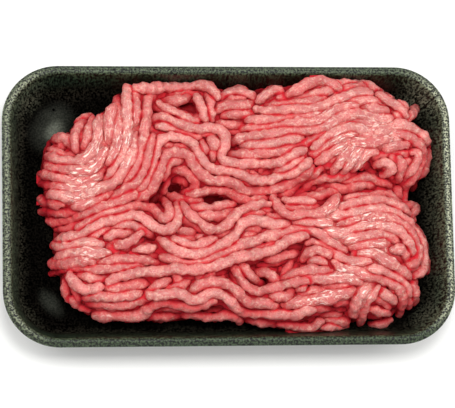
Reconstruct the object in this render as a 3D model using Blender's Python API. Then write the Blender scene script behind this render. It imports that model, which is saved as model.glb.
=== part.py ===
# Foam meat tray holding a folded heap of minced meat.
# Metres, +Z up. The origin is on the ground under the middle of the tray,
# +X runs along the tray's long side and +Y across it.

import math

import bmesh
import bpy
from mathutils import Vector, noise

MM = 0.001

# Tray, measured over the rim
TRAY_LENGTH = 225 * MM
TRAY_WIDTH = 140.4 * MM
TRAY_HEIGHT = 26 * MM
CORNER_RADIUS = 28 * MM  # of the rim's outer edge, seen from above
CORNER_STEPS = 9
WALL_DRAFT = math.radians(14)  # lean of the wall away from upright
WALL_THICKNESS = 3 * MM
FLOOR_THICKNESS = 3.5 * MM
CREST_RADIUS = 1.9 * MM  # round top of the rim
CREST_INSET = 2.7 * MM  # from the trimmed edge to the crest's middle
FLASH_WIDTH = 0.9 * MM  # thin ledge left outside the crest by the trimming die
FLASH_DROP = 1.5 * MM  # of that ledge below the crest
FLASH_THICKNESS = 1.2 * MM
INNER_FILLET = 7 * MM  # between wall and floor, inside
OUTER_FILLET = 9 * MM  # between wall and base, outside

# Meat heap
REST_GAP = 0.3 * MM  # between the meat and the tray
WALL_GAP = 0.8 * MM  # kept where the heap leans on a wall
ROPE_RADIUS = 4.8 * MM  # a rope stands for a few strands that lie together
ROPE_PITCH = 8.6 * MM
ROPE_DEPTH = 3.5 * MM  # how far a rope's axis lies under the heap's top
ROPE_SIDES = 3  # bevel_resolution of a rope's round section
ROPE_STEPS = 6  # curve points between two route points
LUMP_SIZE = 16 * MM
LUMP_HEIGHT = 1.2 * MM
VOXEL = 1.9 * MM
HEAP_TRIANGLES = 6400
HEAP_BOTTOM = FLOOR_THICKNESS + REST_GAP

# The heap is three folds of mince that lie against each other, and what joins them in the middle.
# Each is a mound: middle, half length, half width, turn in degrees and top height, in mm.
MOUNDS = (
    {"name": "rear_left", "middle": (-54, 27), "half": (36, 29), "turn": 34, "top": 26},
    {"name": "left_end", "middle": (-67, 11), "half": (24, 18), "turn": 0, "top": 25},
    {"name": "centre", "middle": (-8, 31), "half": (44, 29), "turn": 0, "top": 24},
    {"name": "rear_right", "middle": (52, 36), "half": (50, 28), "turn": -3, "top": 27},
    {"name": "front_left", "middle": (-30, -28), "half": (57, 27), "turn": 0, "top": 25},
    {"name": "front_right", "middle": (42, -25), "half": (54, 32), "turn": 2, "top": 26},
)

# Ribbons of strands on the folds: how many ropes wide, and the route of the middle, in mm.
RIBBONS = (
    # rear left fold, swept down from the back edge and out to the left end
    (1, ((-57, 52), (-63, 44), (-70, 38), (-78, 33), (-86, 33))),
    (2, ((-50, 58), (-55, 44), (-61, 32), (-70, 25), (-80, 20), (-90, 21))),
    (2, ((-43, 57), (-45, 42), (-50, 27), (-60, 15), (-73, 8), (-90, 8))),
    (2, ((-38, 48), (-39, 34), (-43, 20), (-54, 9), (-69, 0), (-91, -5))),
    # back edge and the strands that cross behind the middle
    (1, ((-42, 58), (-30, 59), (-18, 59), (-8, 57), (2, 57), (12, 54))),
    (1, ((-30, 50), (-20, 51), (-9, 49), (2, 47), (14, 44))),
    (2, ((-34, 44), (-24, 42), (-12, 37), (-4, 33), (-3, 25), (8, 20), (22, 21), (34, 26))),
    # arch from the left fold over the middle and on to the right fold
    (2, ((-52, 4), (-42, 11), (-37, 22), (-27, 29), (-18, 26), (-12, 17), (2, 14), (10, 9), (22, 9))),
    (2, ((14, 8), (24, 7), (36, 11), (48, 17), (58, 20))),
    (1, ((-32, 2), (-20, 2), (-18, 12), (-26, 18))),
    # rear right fold, climbing to the back and turning down at its right end
    (1, ((14, 55), (21, 58), (27, 53), (36, 58), (46, 61), (58, 61))),
    (2, ((8, 44), (22, 47), (36, 51), (48, 55), (62, 58), (74, 57), (84, 51))),
    (2, ((6, 32), (20, 36), (36, 42), (50, 47), (64, 50), (78, 49), (89, 43))),
    (2, ((24, 27), (38, 32), (52, 37), (66, 41), (80, 40), (91, 35), (97, 25), (93, 14))),
    (2, ((46, 18), (56, 25), (68, 31), (79, 30), (86, 23), (86, 12))),
    # front fold, from its left end over to the right end, where it turns back
    (2, ((-86, -15), (-72, -9), (-56, -4), (-42, -5), (-31, -8), (-25, -1), (-10, 0), (6, 0))),
    (1, ((26, 2), (16, -1), (4, -5), (-5, -11), (-14, -9), (-19, -2), (-12, 3), (2, 4), (18, 2))),
    (2, ((-88, -26), (-70, -24), (-54, -18), (-40, -20), (-22, -23), (-4, -19), (8, -13), (26, -12))),
    (2, ((24, -6), (36, -8), (46, -3), (58, 2), (72, 3), (90, 2))),
    (2, ((26, -13), (42, -13), (58, -9), (76, -6), (89, -12), (97, -22), (95, -32))),
    (2, ((-86, -36), (-70, -40), (-55, -36), (-38, -33), (-18, -32), (0, -28), (18, -23), (34, -18))),
    (2, ((34, -20), (48, -22), (60, -26), (74, -24), (86, -28), (91, -38), (90, -49))),
    (1, ((-78, -36), (-79, -43), (-78, -49))),
    (2, ((-72, -47), (-56, -50), (-40, -48), (-26, -47), (-12, -43), (0, -47), (12, -53), (28, -55), (46, -55))),
    (1, ((-36, -42), (-20, -40), (-8, -36))),
    (1, ((2, -32), (7, -42), (18, -44), (32, -38), (46, -31))),
    (2, ((24, -47), (38, -45), (52, -41), (64, -38), (76, -41), (84, -50))),
    (1, ((44, -56), (54, -57), (66, -53), (80, -56))),
)


def clear_scene():
    for obj in list(bpy.data.objects):
        bpy.data.objects.remove(obj, do_unlink=True)


def plain_material(name, colour, roughness):
    material = bpy.data.materials.new(name)
    material.use_nodes = True
    shader = material.node_tree.nodes["Principled BSDF"]
    shader.inputs["Base Color"].default_value = (*colour, 1)
    shader.inputs["Roughness"].default_value = roughness
    shader.inputs["Metallic"].default_value = 0
    return material


def new_object(name, mesh, material):
    mesh.materials.clear()
    mesh.materials.append(material)
    obj = bpy.data.objects.new(name, mesh)
    bpy.context.scene.collection.objects.link(obj)
    return obj


def arc(centre, radius, start, end, steps):
    """Points from one angle to another, in degrees, round a centre."""
    found = []
    for i in range(steps + 1):
        angle = math.radians(start + (end - start) * i / steps)
        found.append((centre[0] + radius * math.cos(angle), centre[1] + radius * math.sin(angle)))
    return found


def wall_inset(height):
    """How far the inner wall's face lies inside the rim's outer edge, at a height above the fillet."""
    crest_height = TRAY_HEIGHT - CREST_RADIUS
    start_inset = CREST_INSET + CREST_RADIUS * math.cos(WALL_DRAFT)
    start_height = crest_height + CREST_RADIUS * math.sin(WALL_DRAFT)
    return start_inset + (start_height - height) * math.tan(WALL_DRAFT)


def fillet_centre(radius, floor_height, skin):
    """Middle of the round between the floor and the wall, for the face that lies skin outside the inner wall."""
    touch_height = floor_height + radius * (1 - math.sin(WALL_DRAFT))
    touch_inset = wall_inset(touch_height) - skin
    return touch_inset + radius * math.cos(WALL_DRAFT), floor_height + radius


def tray_profile():
    """Section through the tray's wall as (inset from the rim, height), from the inner floor over the rim to the base."""
    lean = math.degrees(WALL_DRAFT)
    skin = WALL_THICKNESS / math.cos(WALL_DRAFT)
    inner = fillet_centre(INNER_FILLET, FLOOR_THICKNESS, 0)
    outer = fillet_centre(OUTER_FILLET, 0, skin)
    crest = (CREST_INSET, TRAY_HEIGHT - CREST_RADIUS)
    ledge_height = TRAY_HEIGHT - FLASH_DROP
    under_lip = ledge_height - FLASH_THICKNESS
    lip_root = under_lip - 1.4 * MM
    points = arc(inner, INNER_FILLET, 270, 180 + lean, 5)
    points += arc(crest, CREST_RADIUS, lean, 164, 8)
    points += [
        (FLASH_WIDTH * 0.8, ledge_height),
        (0, ledge_height - 0.2 * MM),
        (0, under_lip),
        (FLASH_WIDTH, under_lip - 0.3 * MM),
        (wall_inset(lip_root) - skin, lip_root),
    ]
    points += arc(outer, OUTER_FILLET, 180 + lean, 270, 6)
    return points


def rounded_ring(bm, inset, height):
    """One closed ring of vertices: the tray's outline, moved inwards."""
    radius = CORNER_RADIUS - inset
    reach_x = TRAY_LENGTH / 2 - CORNER_RADIUS
    reach_y = TRAY_WIDTH / 2 - CORNER_RADIUS
    ring = []
    for quarter, (side_x, side_y) in enumerate(((1, 1), (-1, 1), (-1, -1), (1, -1))):
        centre = (side_x * reach_x, side_y * reach_y)
        for x, y in arc(centre, radius, 90 * quarter, 90 * quarter + 90, CORNER_STEPS):
            ring.append(bm.verts.new((x, y, height)))
    return ring


def build_tray(material):
    bm = bmesh.new()
    rings = [rounded_ring(bm, inset, height) for inset, height in tray_profile()]
    for lower, upper in zip(rings, rings[1:]):
        for i in range(len(lower)):
            j = (i + 1) % len(lower)
            bm.faces.new((lower[i], lower[j], upper[j], upper[i]))
    bm.faces.new(rings[0])
    bm.faces.new(rings[-1])
    bmesh.ops.recalc_face_normals(bm, faces=bm.faces)
    mesh = bpy.data.meshes.new("tray")
    bm.to_mesh(mesh)
    bm.free()
    mesh.shade_smooth()
    mesh.set_sharp_from_angle(angle=math.radians(35))
    return new_object("tray", mesh, material)


def outline_depth(x, y):
    """How far a point lies inside the rim's outer edge."""
    over_x = abs(x) - (TRAY_LENGTH / 2 - CORNER_RADIUS)
    over_y = abs(y) - (TRAY_WIDTH / 2 - CORNER_RADIUS)
    if over_x > 0 and over_y > 0:
        return CORNER_RADIUS - math.hypot(over_x, over_y)
    return CORNER_RADIUS - max(over_x, over_y)


def room_inset(height):
    """The least inset that the meat may have at a height, to stay clear of wall and fillet."""
    centre_inset, centre_height = fillet_centre(INNER_FILLET, FLOOR_THICKNESS, 0)
    touch_height = centre_height - INNER_FILLET * math.sin(WALL_DRAFT)
    if height >= touch_height:
        return wall_inset(min(height, TRAY_HEIGHT - CREST_RADIUS)) + WALL_GAP
    fall = min(centre_height - height, INNER_FILLET)
    return centre_inset - math.sqrt(INNER_FILLET**2 - fall**2) + WALL_GAP


def keep_inside_tray(point):
    """Moves a point that would be in the tray's wall back towards the middle."""
    missing = room_inset(point.z) - outline_depth(point.x, point.y)
    if missing <= 0:
        return
    step = 0.01 * MM
    slope = Vector((
        outline_depth(point.x + step, point.y) - outline_depth(point.x - step, point.y),
        outline_depth(point.x, point.y + step) - outline_depth(point.x, point.y - step),
        0,
    ))
    if slope.length > 0:
        point += slope.normalized() * missing


def mound_height(mound, x, y):
    """Top of one mound over a place, or the floor outside it. Its sides are steep and its top is nearly flat."""
    turn = math.radians(mound["turn"])
    dx = x - mound["middle"][0] * MM
    dy = y - mound["middle"][1] * MM
    along = (dx * math.cos(turn) + dy * math.sin(turn)) / (mound["half"][0] * MM)
    across = (dy * math.cos(turn) - dx * math.sin(turn)) / (mound["half"][1] * MM)
    reach = (abs(along) ** 3 + abs(across) ** 3) ** (1 / 3)
    rise = max(0, 1 - reach**5) ** 0.4
    return HEAP_BOTTOM + (mound["top"] * MM - HEAP_BOTTOM) * rise


def heap_top(x, y):
    """Top of the heap over a place, with soft lumps."""
    top = max(mound_height(mound, x, y) for mound in MOUNDS)
    lump = noise.noise(Vector((x, y, 0)) / LUMP_SIZE)
    return top + LUMP_HEIGHT * lump


def build_mound(mound):
    """The core of one fold: a grid in its outline, raised to the mound's height, with a flat underside."""
    rings, spokes = 9, 40
    turn = math.radians(mound["turn"])
    bm = bmesh.new()
    centre = Vector((mound["middle"][0] * MM, mound["middle"][1] * MM, 0))
    loops = []
    for ring in range(1, rings + 1):
        reach = math.sin(math.pi / 2 * ring / rings)
        loop = []
        for spoke in range(spokes):
            angle = math.tau * spoke / spokes
            c, s = math.cos(angle), math.sin(angle)
            stretch = reach / (abs(c) ** 3 + abs(s) ** 3) ** (1 / 3)
            along, across = c * stretch * mound["half"][0] * MM, s * stretch * mound["half"][1] * MM
            x = centre.x + along * math.cos(turn) - across * math.sin(turn)
            y = centre.y + along * math.sin(turn) + across * math.cos(turn)
            z = mound_height(mound, x, y) - ROPE_DEPTH
            loop.append(bm.verts.new((x, y, max(z, HEAP_BOTTOM - VOXEL))))
        loops.append(loop)
    peak = bm.verts.new((centre.x, centre.y, mound["top"] * MM - ROPE_DEPTH))
    for i in range(spokes):
        j = (i + 1) % spokes
        bm.faces.new((peak, loops[0][i], loops[0][j]))
        for inside, outside in zip(loops, loops[1:]):
            bm.faces.new((inside[i], outside[i], outside[j], inside[j]))
    base = [bm.verts.new((v.co.x, v.co.y, HEAP_BOTTOM - 2 * VOXEL)) for v in loops[-1]]
    for i in range(spokes):
        j = (i + 1) % spokes
        bm.faces.new((loops[-1][i], base[i], base[j], loops[-1][j]))
    bm.faces.new(base)
    bmesh.ops.recalc_face_normals(bm, faces=bm.faces)
    mesh = bpy.data.meshes.new(mound["name"])
    bm.to_mesh(mesh)
    bm.free()
    return mesh


def catmull(points, steps):
    """A smooth line through the points."""
    ends = [points[0] * 2 - points[1], *points, points[-1] * 2 - points[-2]]
    line = []
    for before, a, b, after in zip(ends, ends[1:], ends[2:], ends[3:]):
        for i in range(steps):
            t = i / steps
            line.append(
                0.5 * (
                    2 * a
                    + (b - before) * t
                    + (2 * before - 5 * a + 4 * b - after) * t**2
                    + (3 * a - before - 3 * b + after) * t**3
                )
            )
    line.append(points[-1])
    return line


def rope_lines(ribbons):
    """The axis of each rope, laid on the heap's top."""
    lines = []
    for ropes, route in ribbons:
        middle = catmull([Vector((x * MM, y * MM, 0)) for x, y in route], ROPE_STEPS)
        for rope in range(ropes):
            side = (rope - (ropes - 1) / 2) * ROPE_PITCH
            line = []
            for i, point in enumerate(middle):
                ahead = middle[min(i + 1, len(middle) - 1)] - middle[max(i - 1, 0)]
                across = Vector((-ahead.y, ahead.x, 0)).normalized()
                place = point + across * side
                top = heap_top(place.x, place.y) - ROPE_DEPTH
                place.z = max(top, HEAP_BOTTOM + ROPE_RADIUS)
                line.append(place)
            lines.append(line)
    return lines


def build_ropes(lines):
    """All ropes as round tubes with closed ends, in one mesh."""
    curve = bpy.data.curves.new("ropes", "CURVE")
    curve.dimensions = "3D"
    curve.bevel_depth = ROPE_RADIUS
    curve.bevel_resolution = ROPE_SIDES
    curve.use_fill_caps = True
    for line in lines:
        spline = curve.splines.new("POLY")
        spline.points.add(len(line) - 1)
        for i, point in enumerate(line):
            spline.points[i].co = (*point, 1)
            from_end = min(i, len(line) - 1 - i)
            spline.points[i].radius = (0.6, 0.9, 1.0)[min(from_end, 2)]
    guide = bpy.data.objects.new("ropes", curve)
    bpy.context.scene.collection.objects.link(guide)
    mesh = bpy.data.meshes.new_from_object(guide.evaluated_get(bpy.context.evaluated_depsgraph_get()))
    bpy.data.objects.remove(guide, do_unlink=True)
    return mesh


def remeshed(mesh, voxel):
    """One skin round everything in the mesh."""
    carrier = bpy.data.objects.new("carrier", mesh)
    bpy.context.scene.collection.objects.link(carrier)
    remesh = carrier.modifiers.new("one skin", "REMESH")
    remesh.mode = "VOXEL"
    remesh.voxel_size = voxel
    result = bpy.data.meshes.new_from_object(carrier.evaluated_get(bpy.context.evaluated_depsgraph_get()))
    bpy.data.objects.remove(carrier, do_unlink=True)
    return result


def largest_shell(bm):
    """Deletes all but the shell with the most vertices, so that no closed bubble stays inside."""
    unseen = set(bm.verts)
    shells = []
    while unseen:
        start = unseen.pop()
        shell, front = {start}, [start]
        while front:
            for edge in front.pop().link_edges:
                for vert in edge.verts:
                    if vert in unseen:
                        unseen.discard(vert)
                        shell.add(vert)
                        front.append(vert)
        shells.append(shell)
    shells.sort(key=len)
    for shell in shells[:-1]:
        bmesh.ops.delete(bm, geom=list(shell), context="VERTS")


def build_mince(material):
    bm = bmesh.new()
    for mesh in [build_mound(mound) for mound in MOUNDS] + [build_ropes(rope_lines(RIBBONS))]:
        bm.from_mesh(mesh)
    joined = bpy.data.meshes.new("joined")
    bm.to_mesh(joined)
    bm.free()

    bm = bmesh.new()
    bm.from_mesh(remeshed(joined, VOXEL))
    bmesh.ops.smooth_vert(bm, verts=bm.verts, factor=0.5, use_axis_x=True, use_axis_y=True, use_axis_z=True)
    bmesh.ops.bisect_plane(
        bm,
        geom=bm.verts[:] + bm.edges[:] + bm.faces[:],
        plane_co=(0, 0, HEAP_BOTTOM),
        plane_no=(0, 0, 1),
        clear_inner=True,
    )
    bmesh.ops.holes_fill(bm, edges=[e for e in bm.edges if e.is_boundary])
    largest_shell(bm)
    for vert in bm.verts:
        keep_inside_tray(vert.co)
    bmesh.ops.recalc_face_normals(bm, faces=bm.faces)
    bmesh.ops.triangulate(bm, faces=bm.faces)
    mesh = bpy.data.meshes.new("mince")
    bm.to_mesh(mesh)
    bm.free()
    mesh.shade_smooth()
    heap = new_object("mince", mesh, material)
    thin = heap.modifiers.new("fewer faces", "DECIMATE")
    thin.ratio = min(1, HEAP_TRIANGLES / len(mesh.polygons))
    return heap


def main():
    clear_scene()
    build_tray(plain_material("black foam", (0.022, 0.024, 0.019), 0.6))
    build_mince(plain_material("minced meat", (0.62, 0.19, 0.17), 0.4))


main()
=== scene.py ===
# An open foam tray of raw minced meat: the looks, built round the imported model.
import math
import random

import bmesh
import bpy
import numpy as np
from mathutils import Matrix, Vector, noise
from mathutils.bvhtree import BVHTree
from mathutils.kdtree import KDTree


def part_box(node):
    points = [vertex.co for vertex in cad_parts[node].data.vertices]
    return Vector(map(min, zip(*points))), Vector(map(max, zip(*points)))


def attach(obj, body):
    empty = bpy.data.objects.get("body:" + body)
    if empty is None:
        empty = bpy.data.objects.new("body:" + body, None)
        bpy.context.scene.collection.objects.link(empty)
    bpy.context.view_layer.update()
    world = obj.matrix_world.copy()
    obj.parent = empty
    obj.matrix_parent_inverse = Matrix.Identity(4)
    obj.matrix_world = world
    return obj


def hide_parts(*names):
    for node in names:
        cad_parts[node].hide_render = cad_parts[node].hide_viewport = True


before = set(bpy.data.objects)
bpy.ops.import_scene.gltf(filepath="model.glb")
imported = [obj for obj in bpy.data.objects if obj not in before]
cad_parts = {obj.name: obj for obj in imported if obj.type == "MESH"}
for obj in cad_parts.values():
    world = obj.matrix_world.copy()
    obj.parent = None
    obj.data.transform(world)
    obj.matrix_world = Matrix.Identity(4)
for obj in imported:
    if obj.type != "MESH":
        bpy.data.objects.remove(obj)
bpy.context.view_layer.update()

mm = 0.001
dice = random.Random(11)
noise.seed_set(7)  # without it the noise vectors differ from run to run
bpy.context.scene.view_settings.view_transform = "Standard"


def linearColour(hexText):
    parts = [int(hexText[i:i + 2], 16) / 255 for i in (1, 3, 5)]
    return (*[c / 12.92 if c <= 0.04045 else ((c + 0.055) / 1.055) ** 2.4 for c in parts], 1)


def addNode(tree, kind, settings=None, inputs=None, links=None):
    node = tree.nodes.new("ShaderNode" + kind)
    for name, value in (settings or {}).items():
        setattr(node, name, value)
    for name, value in (inputs or {}).items():
        node.inputs[name].default_value = value
    for name, socket in (links or {}).items():
        tree.links.new(socket, node.inputs[name])
    return node


def newMaterial(name):
    material = bpy.data.materials.new(name)
    material.use_nodes = True
    tree = material.node_tree
    return material, tree, tree.nodes["Principled BSDF"]


def placeMesh(name, mesh, material):
    mesh.materials.clear()
    mesh.materials.append(material)
    piece = bpy.data.objects.new(name, mesh)
    bpy.context.scene.collection.objects.link(piece)
    return piece


def smoothLine(points, steps):
    ends = [2 * points[0] - points[1], *points, 2 * points[-1] - points[-2]]
    line = []
    for before, a, b, after in zip(ends, ends[1:], ends[2:], ends[3:]):
        for i in range(steps):
            t = i / steps
            line.append(0.5 * (2 * a + (b - before) * t + (2 * before - 5 * a + 4 * b - after) * t ** 2
                               + (3 * a - before - 3 * b + after) * t ** 3))
    line.append(points[-1])
    return np.array(line)


def evenSteps(line, step):
    gaps = np.linalg.norm(np.diff(line, axis=0), axis=1)
    along = np.concatenate([[0], np.cumsum(gaps)])
    count = max(2, int(round(along[-1] / step)) + 1)
    marks = np.linspace(0, along[-1], count)
    return np.stack([np.interp(marks, along, line[:, k]) for k in range(line.shape[1])], axis=1)


# camera, floor and light

view = {
    "place": (-144, -192, 1226),  # mm, over the front left corner
    "aim": (-1.3, 0.2, 26),
    "lens": 195.3,
    "roll": -1.21,  # degrees
}


def makeCamera():
    data = bpy.data.cameras.new("camera")
    data.lens = view["lens"]
    data.sensor_width = 36
    data.clip_start, data.clip_end = 0.05, 20
    camera = bpy.data.objects.new("camera", data)
    bpy.context.scene.collection.objects.link(camera)
    place, aim = Vector(view["place"]) * mm, Vector(view["aim"]) * mm
    forward = (aim - place).normalized()
    right = forward.cross(Vector((0, 1, 0))).normalized()
    turn = Matrix.Rotation(-math.radians(view["roll"]), 3, forward)
    right = turn @ right
    up = right.cross(forward)
    camera.matrix_world = Matrix.Translation(place) @ Matrix((right, up, -forward)).transposed().to_4x4()
    bpy.context.scene.camera = camera


light = {
    "world": 0.7,
    "boxes": [  # place in metres, width, watts
        {"name": "overhead", "place": (0.0, 0.22, 1.35), "size": 0.4, "power": 8},
        {"name": "left", "place": (-0.8, 0.3, 1.1), "size": 0.6, "power": 4.3},
        {"name": "right", "place": (0.95, 0.2, 1.0), "size": 0.6, "power": 4.3},
        {"name": "front", "place": (-0.3, -0.8, 1.3), "size": 0.6, "power": 2.3},
    ],
}


def makeLights():
    world = bpy.data.worlds.new("studio")
    world.use_nodes = True
    world.node_tree.nodes["Background"].inputs["Color"].default_value = (1, 1, 1, 1)
    world.node_tree.nodes["Background"].inputs["Strength"].default_value = light["world"]
    bpy.context.scene.world = world
    for box in light["boxes"]:
        data = bpy.data.lights.new(box["name"], "AREA")
        data.energy = box["power"]
        data.size = box["size"]
        lamp = bpy.data.objects.new(box["name"], data)
        lamp.location = box["place"]
        lamp.rotation_euler = (-Vector(box["place"])).to_track_quat("-Z", "Y").to_euler()
        bpy.context.scene.collection.objects.link(lamp)


def makeFloor():
    bm = bmesh.new()
    bmesh.ops.create_grid(bm, x_segments=1, y_segments=1, size=3)
    mesh = bpy.data.meshes.new("floor")
    bm.to_mesh(mesh)
    bm.free()
    material, tree, shader = newMaterial("matt white paper")
    shader.inputs["Base Color"].default_value = linearColour("#F4F4F2")
    shader.inputs["Roughness"].default_value = 0.9
    floor = placeMesh("floor", mesh, material)


makeCamera()
makeLights()
makeFloor()
print("camera, floor and light are there")


# the foam tray, thermoformed from a sheet of expanded polystyrene

trayLow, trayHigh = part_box("tray")
tray = {
    "length": (trayHigh.x - trayLow.x) / mm,
    "width": (trayHigh.y - trayLow.y) / mm,
    "height": (trayHigh.z - trayLow.z) / mm,
    "corner": 28,  # radius of the rim's outer edge, mm
    "lean": math.radians(14),
    "wall": 3,
    "floor": 3.5,
    "crest": 1.9,  # radius of the rim's round top
    "crestIn": 2.7,
    "ledge": 0.9,
    "ledgeDrop": 1.5,
    "ledgeThick": 1.2,
    "innerFillet": 7,
    "outerFillet": 9,
    "cornerSteps": 22,
    "sideSteps": 2.6,  # mm between rows along the straight walls
}


def wallInset(height):
    t = tray
    crestHeight = t["height"] - t["crest"]
    startInset = t["crestIn"] + t["crest"] * math.cos(t["lean"])
    startHeight = crestHeight + t["crest"] * math.sin(t["lean"])
    return startInset + (startHeight - height) * math.tan(t["lean"])


def filletCentre(radius, floorHeight, skin):
    touch = floorHeight + radius * (1 - math.sin(tray["lean"]))
    return wallInset(touch) - skin + radius * math.cos(tray["lean"]), floorHeight + radius


def arcPoints(centre, radius, start, end, steps):
    angles = np.radians(np.linspace(start, end, steps + 1))
    return [(centre[0] + radius * math.cos(a), centre[1] + radius * math.sin(a)) for a in angles]


def betweenPoints(a, b, steps):
    return [(a[0] + (b[0] - a[0]) * k / steps, a[1] + (b[1] - a[1]) * k / steps) for k in range(1, steps)]


def traySection():  # (inset from the rim's edge, height), from the base up the outside and down the inside
    t = tray
    lean = math.degrees(t["lean"])
    skin = t["wall"] / math.cos(t["lean"])
    inner = filletCentre(t["innerFillet"], t["floor"], 0)
    outer = filletCentre(t["outerFillet"], 0, skin)
    ledge = t["height"] - t["ledgeDrop"]
    under = ledge - t["ledgeThick"]
    lipRoot = under - 1.4
    outside = arcPoints(outer, t["outerFillet"], 270, 180 + lean, 8)
    lip = [(wallInset(lipRoot) - skin, lipRoot), (t["ledge"], under - 0.3), (0.1, under), (0, under + 0.25),
           (0, ledge - 0.4), (0.15, ledge - 0.15), (t["ledge"] * 0.8, ledge)]
    crest = arcPoints((t["crestIn"], t["height"] - t["crest"]), t["crest"], 164, lean, 12)
    inside = arcPoints(inner, t["innerFillet"], 180 + lean, 270, 10)
    return (outside + betweenPoints(outside[-1], lip[0], 6) + lip + crest
            + betweenPoints(crest[-1], inside[0], 8) + inside)


def outlineFoot(x, y):  # the nearest point that the outline's offsets start from, and the way out from it
    reachX = tray["length"] / 2 - tray["corner"]
    reachY = tray["width"] / 2 - tray["corner"]
    footX, footY = max(-reachX, min(reachX, x)), max(-reachY, min(reachY, y))
    away = Vector((x - footX, y - footY))
    return footX, footY, away.normalized()


def sideShare(sides, away):  # a value for each side and corner, blended round the tray
    across, along = "right" if away.x > 0 else "left", "rear" if away.y > 0 else "front"
    return (away.x ** 2 * sides[across] + away.y ** 2 * sides[along]
            + 4 * away.x ** 2 * away.y ** 2 * sides[along + across.capitalize()])


def makeTray(material):
    t = tray
    bm = bmesh.new()
    bmesh.ops.create_grid(bm, x_segments=1, y_segments=1, size=0.5)
    bmesh.ops.scale(bm, vec=(t["length"], t["width"], 1), verts=bm.verts)
    bmesh.ops.bevel(bm, geom=bm.verts[:], affect="VERTICES", offset=t["corner"], segments=t["cornerSteps"],
                    profile=0.5, material=-1)
    for edge in [e for e in bm.edges if e.calc_length() > 40]:
        bmesh.ops.subdivide_edges(bm, edges=[edge], cuts=int(edge.calc_length() / t["sideSteps"]))
    face = bm.faces[:][0]
    if face.normal.z < 0:
        face.normal_flip()
    section = traySection()
    for step, (inset, height) in enumerate(section):
        if step:
            made = bmesh.ops.extrude_face_region(bm, geom=[face])["geom"]
            if step > 1:
                bmesh.ops.delete(bm, geom=[face], context="FACES_ONLY")
            face = [g for g in made if isinstance(g, bmesh.types.BMFace)][0]
        for vert in face.verts:
            footX, footY, away = outlineFoot(vert.co.x, vert.co.y)
            reach = t["corner"] - inset
            vert.co = (footX + away.x * reach, footY + away.y * reach, height)
    bmesh.ops.recalc_face_normals(bm, faces=bm.faces)
    for vert in bm.verts:  # the sheet is never quite even
        if 1 < vert.co.z < t["height"] - 0.05:
            footX, footY, away = outlineFoot(vert.co.x, vert.co.y)
            wave = noise.noise(vert.co / 9) * 0.12 + noise.noise(vert.co / 30) * 0.15
            if t["corner"] - Vector((vert.co.x - footX, vert.co.y - footY)).length > 1.2:
                vert.co += Vector((away.x, away.y, 0)) * wave
    bm.normal_update()
    paintedLight = []
    for vert in bm.verts:  # painted light: how bright the rim's highlight is painted, by how far in from its edge
        footX, footY, away = outlineFoot(vert.co.x, vert.co.y)
        inset = t["corner"] - Vector((vert.co.x - footX, vert.co.y - footY)).length
        onRim = vert.co.z > t["height"] - t["ledgeDrop"] - t["ledgeThick"] - 1 and inset < 6
        cornered = 4 * away.x ** 2 * away.y ** 2
        inset *= 1 - 0.3 * cornered
        pale = float(np.interp(inset, *zip(*foam["paintedLight"]))) * sideShare(foam["sides"], away) if onRim else 0
        # painted light on the inward faces of the wall, lighter on the sides the lamps light
        if vert.normal.x * away.x + vert.normal.y * away.y < -0.2:
            worn = float(np.interp(inset, *zip(*foam["worn"])))
            pale = max(pale, worn * sideShare(foam["paintedWallLightSides"], away))
        paintedLight.append(pale)
    bmesh.ops.scale(bm, vec=(mm, mm, mm), verts=bm.verts)
    mesh = bpy.data.meshes.new("foamTray")
    bm.to_mesh(mesh)
    bm.free()
    mesh.attributes.new("paintedLight", "FLOAT", "POINT").data.foreach_set("value", paintedLight)
    mesh.shade_smooth()
    mesh.set_sharp_from_angle(angle=math.radians(40))
    return placeMesh("foamTray", mesh, material)


foam = {
    "tones": [  # height in mm and colour, painted shade: greyer up the wall, deep black towards the floor where the walls and the heap shade it
        (3.6, "#060504"), (6, "#13110D"), (10, "#1A1B14"), (15, "#192118"), (20, "#1A261A"), (25, "#273021"),
    ],
    # painted highlight on the rim by inset in mm from its edge, and how strongly it is painted on each side
    # and corner
    "paintedLight": [(0, 0.6), (0.5, 0.2), (0.9, 0.15), (1.4, 0.8), (2.1, 1), (2.9, 0.6), (3.8, 0.2), (4.8, 0)],
    "sides": {"left": 0.5, "right": 1.2, "rear": 0.12, "front": 0.0, "rearLeft": 0.35, "rearRight": 0.1,
              "frontLeft": 0.15, "frontRight": -0.3},  # each corner adds to its two sides
    "worn": [(2.5, 0), (3.5, 1), (5.5, 1), (8, 0.45), (11, 0.1), (14, 0)],  # painted light down the inside of the wall, by inset in mm
    "paintedWallLightSides": {"left": 0.12, "right": 0.16, "rear": 0.0, "front": 0.0, "rearLeft": 0.12, "rearRight": 0.36,
                  "frontLeft": 0.0, "frontRight": 0.08},
    # the colour of the painted rim highlight and wall light
    "pale": "#70725F",
    "grain": 0.95,  # mm
    "pinholes": {"across": 28.5, "along": 17.5, "turn": 3, "radius": 0.7, "shift": (3, 5)},
    "creases": [((93, 51.5), (107.5, 60.3)), ((97, 49.5), (109, 56.5))],  # in the rear right corner
    "paintedGlares": [  # painted glare on the floor's fillets in the left corners: middle, reach, how pale
        {"at": (-85.5, 41), "half": (6, 8), "turn": -35, "pale": 0.45},
        {"at": (-87, 43), "half": (13, 17), "turn": -35, "pale": 0.12},
        {"at": (-88, -46), "half": (6, 11), "turn": 40, "pale": 0.09},
    ],
}


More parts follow.
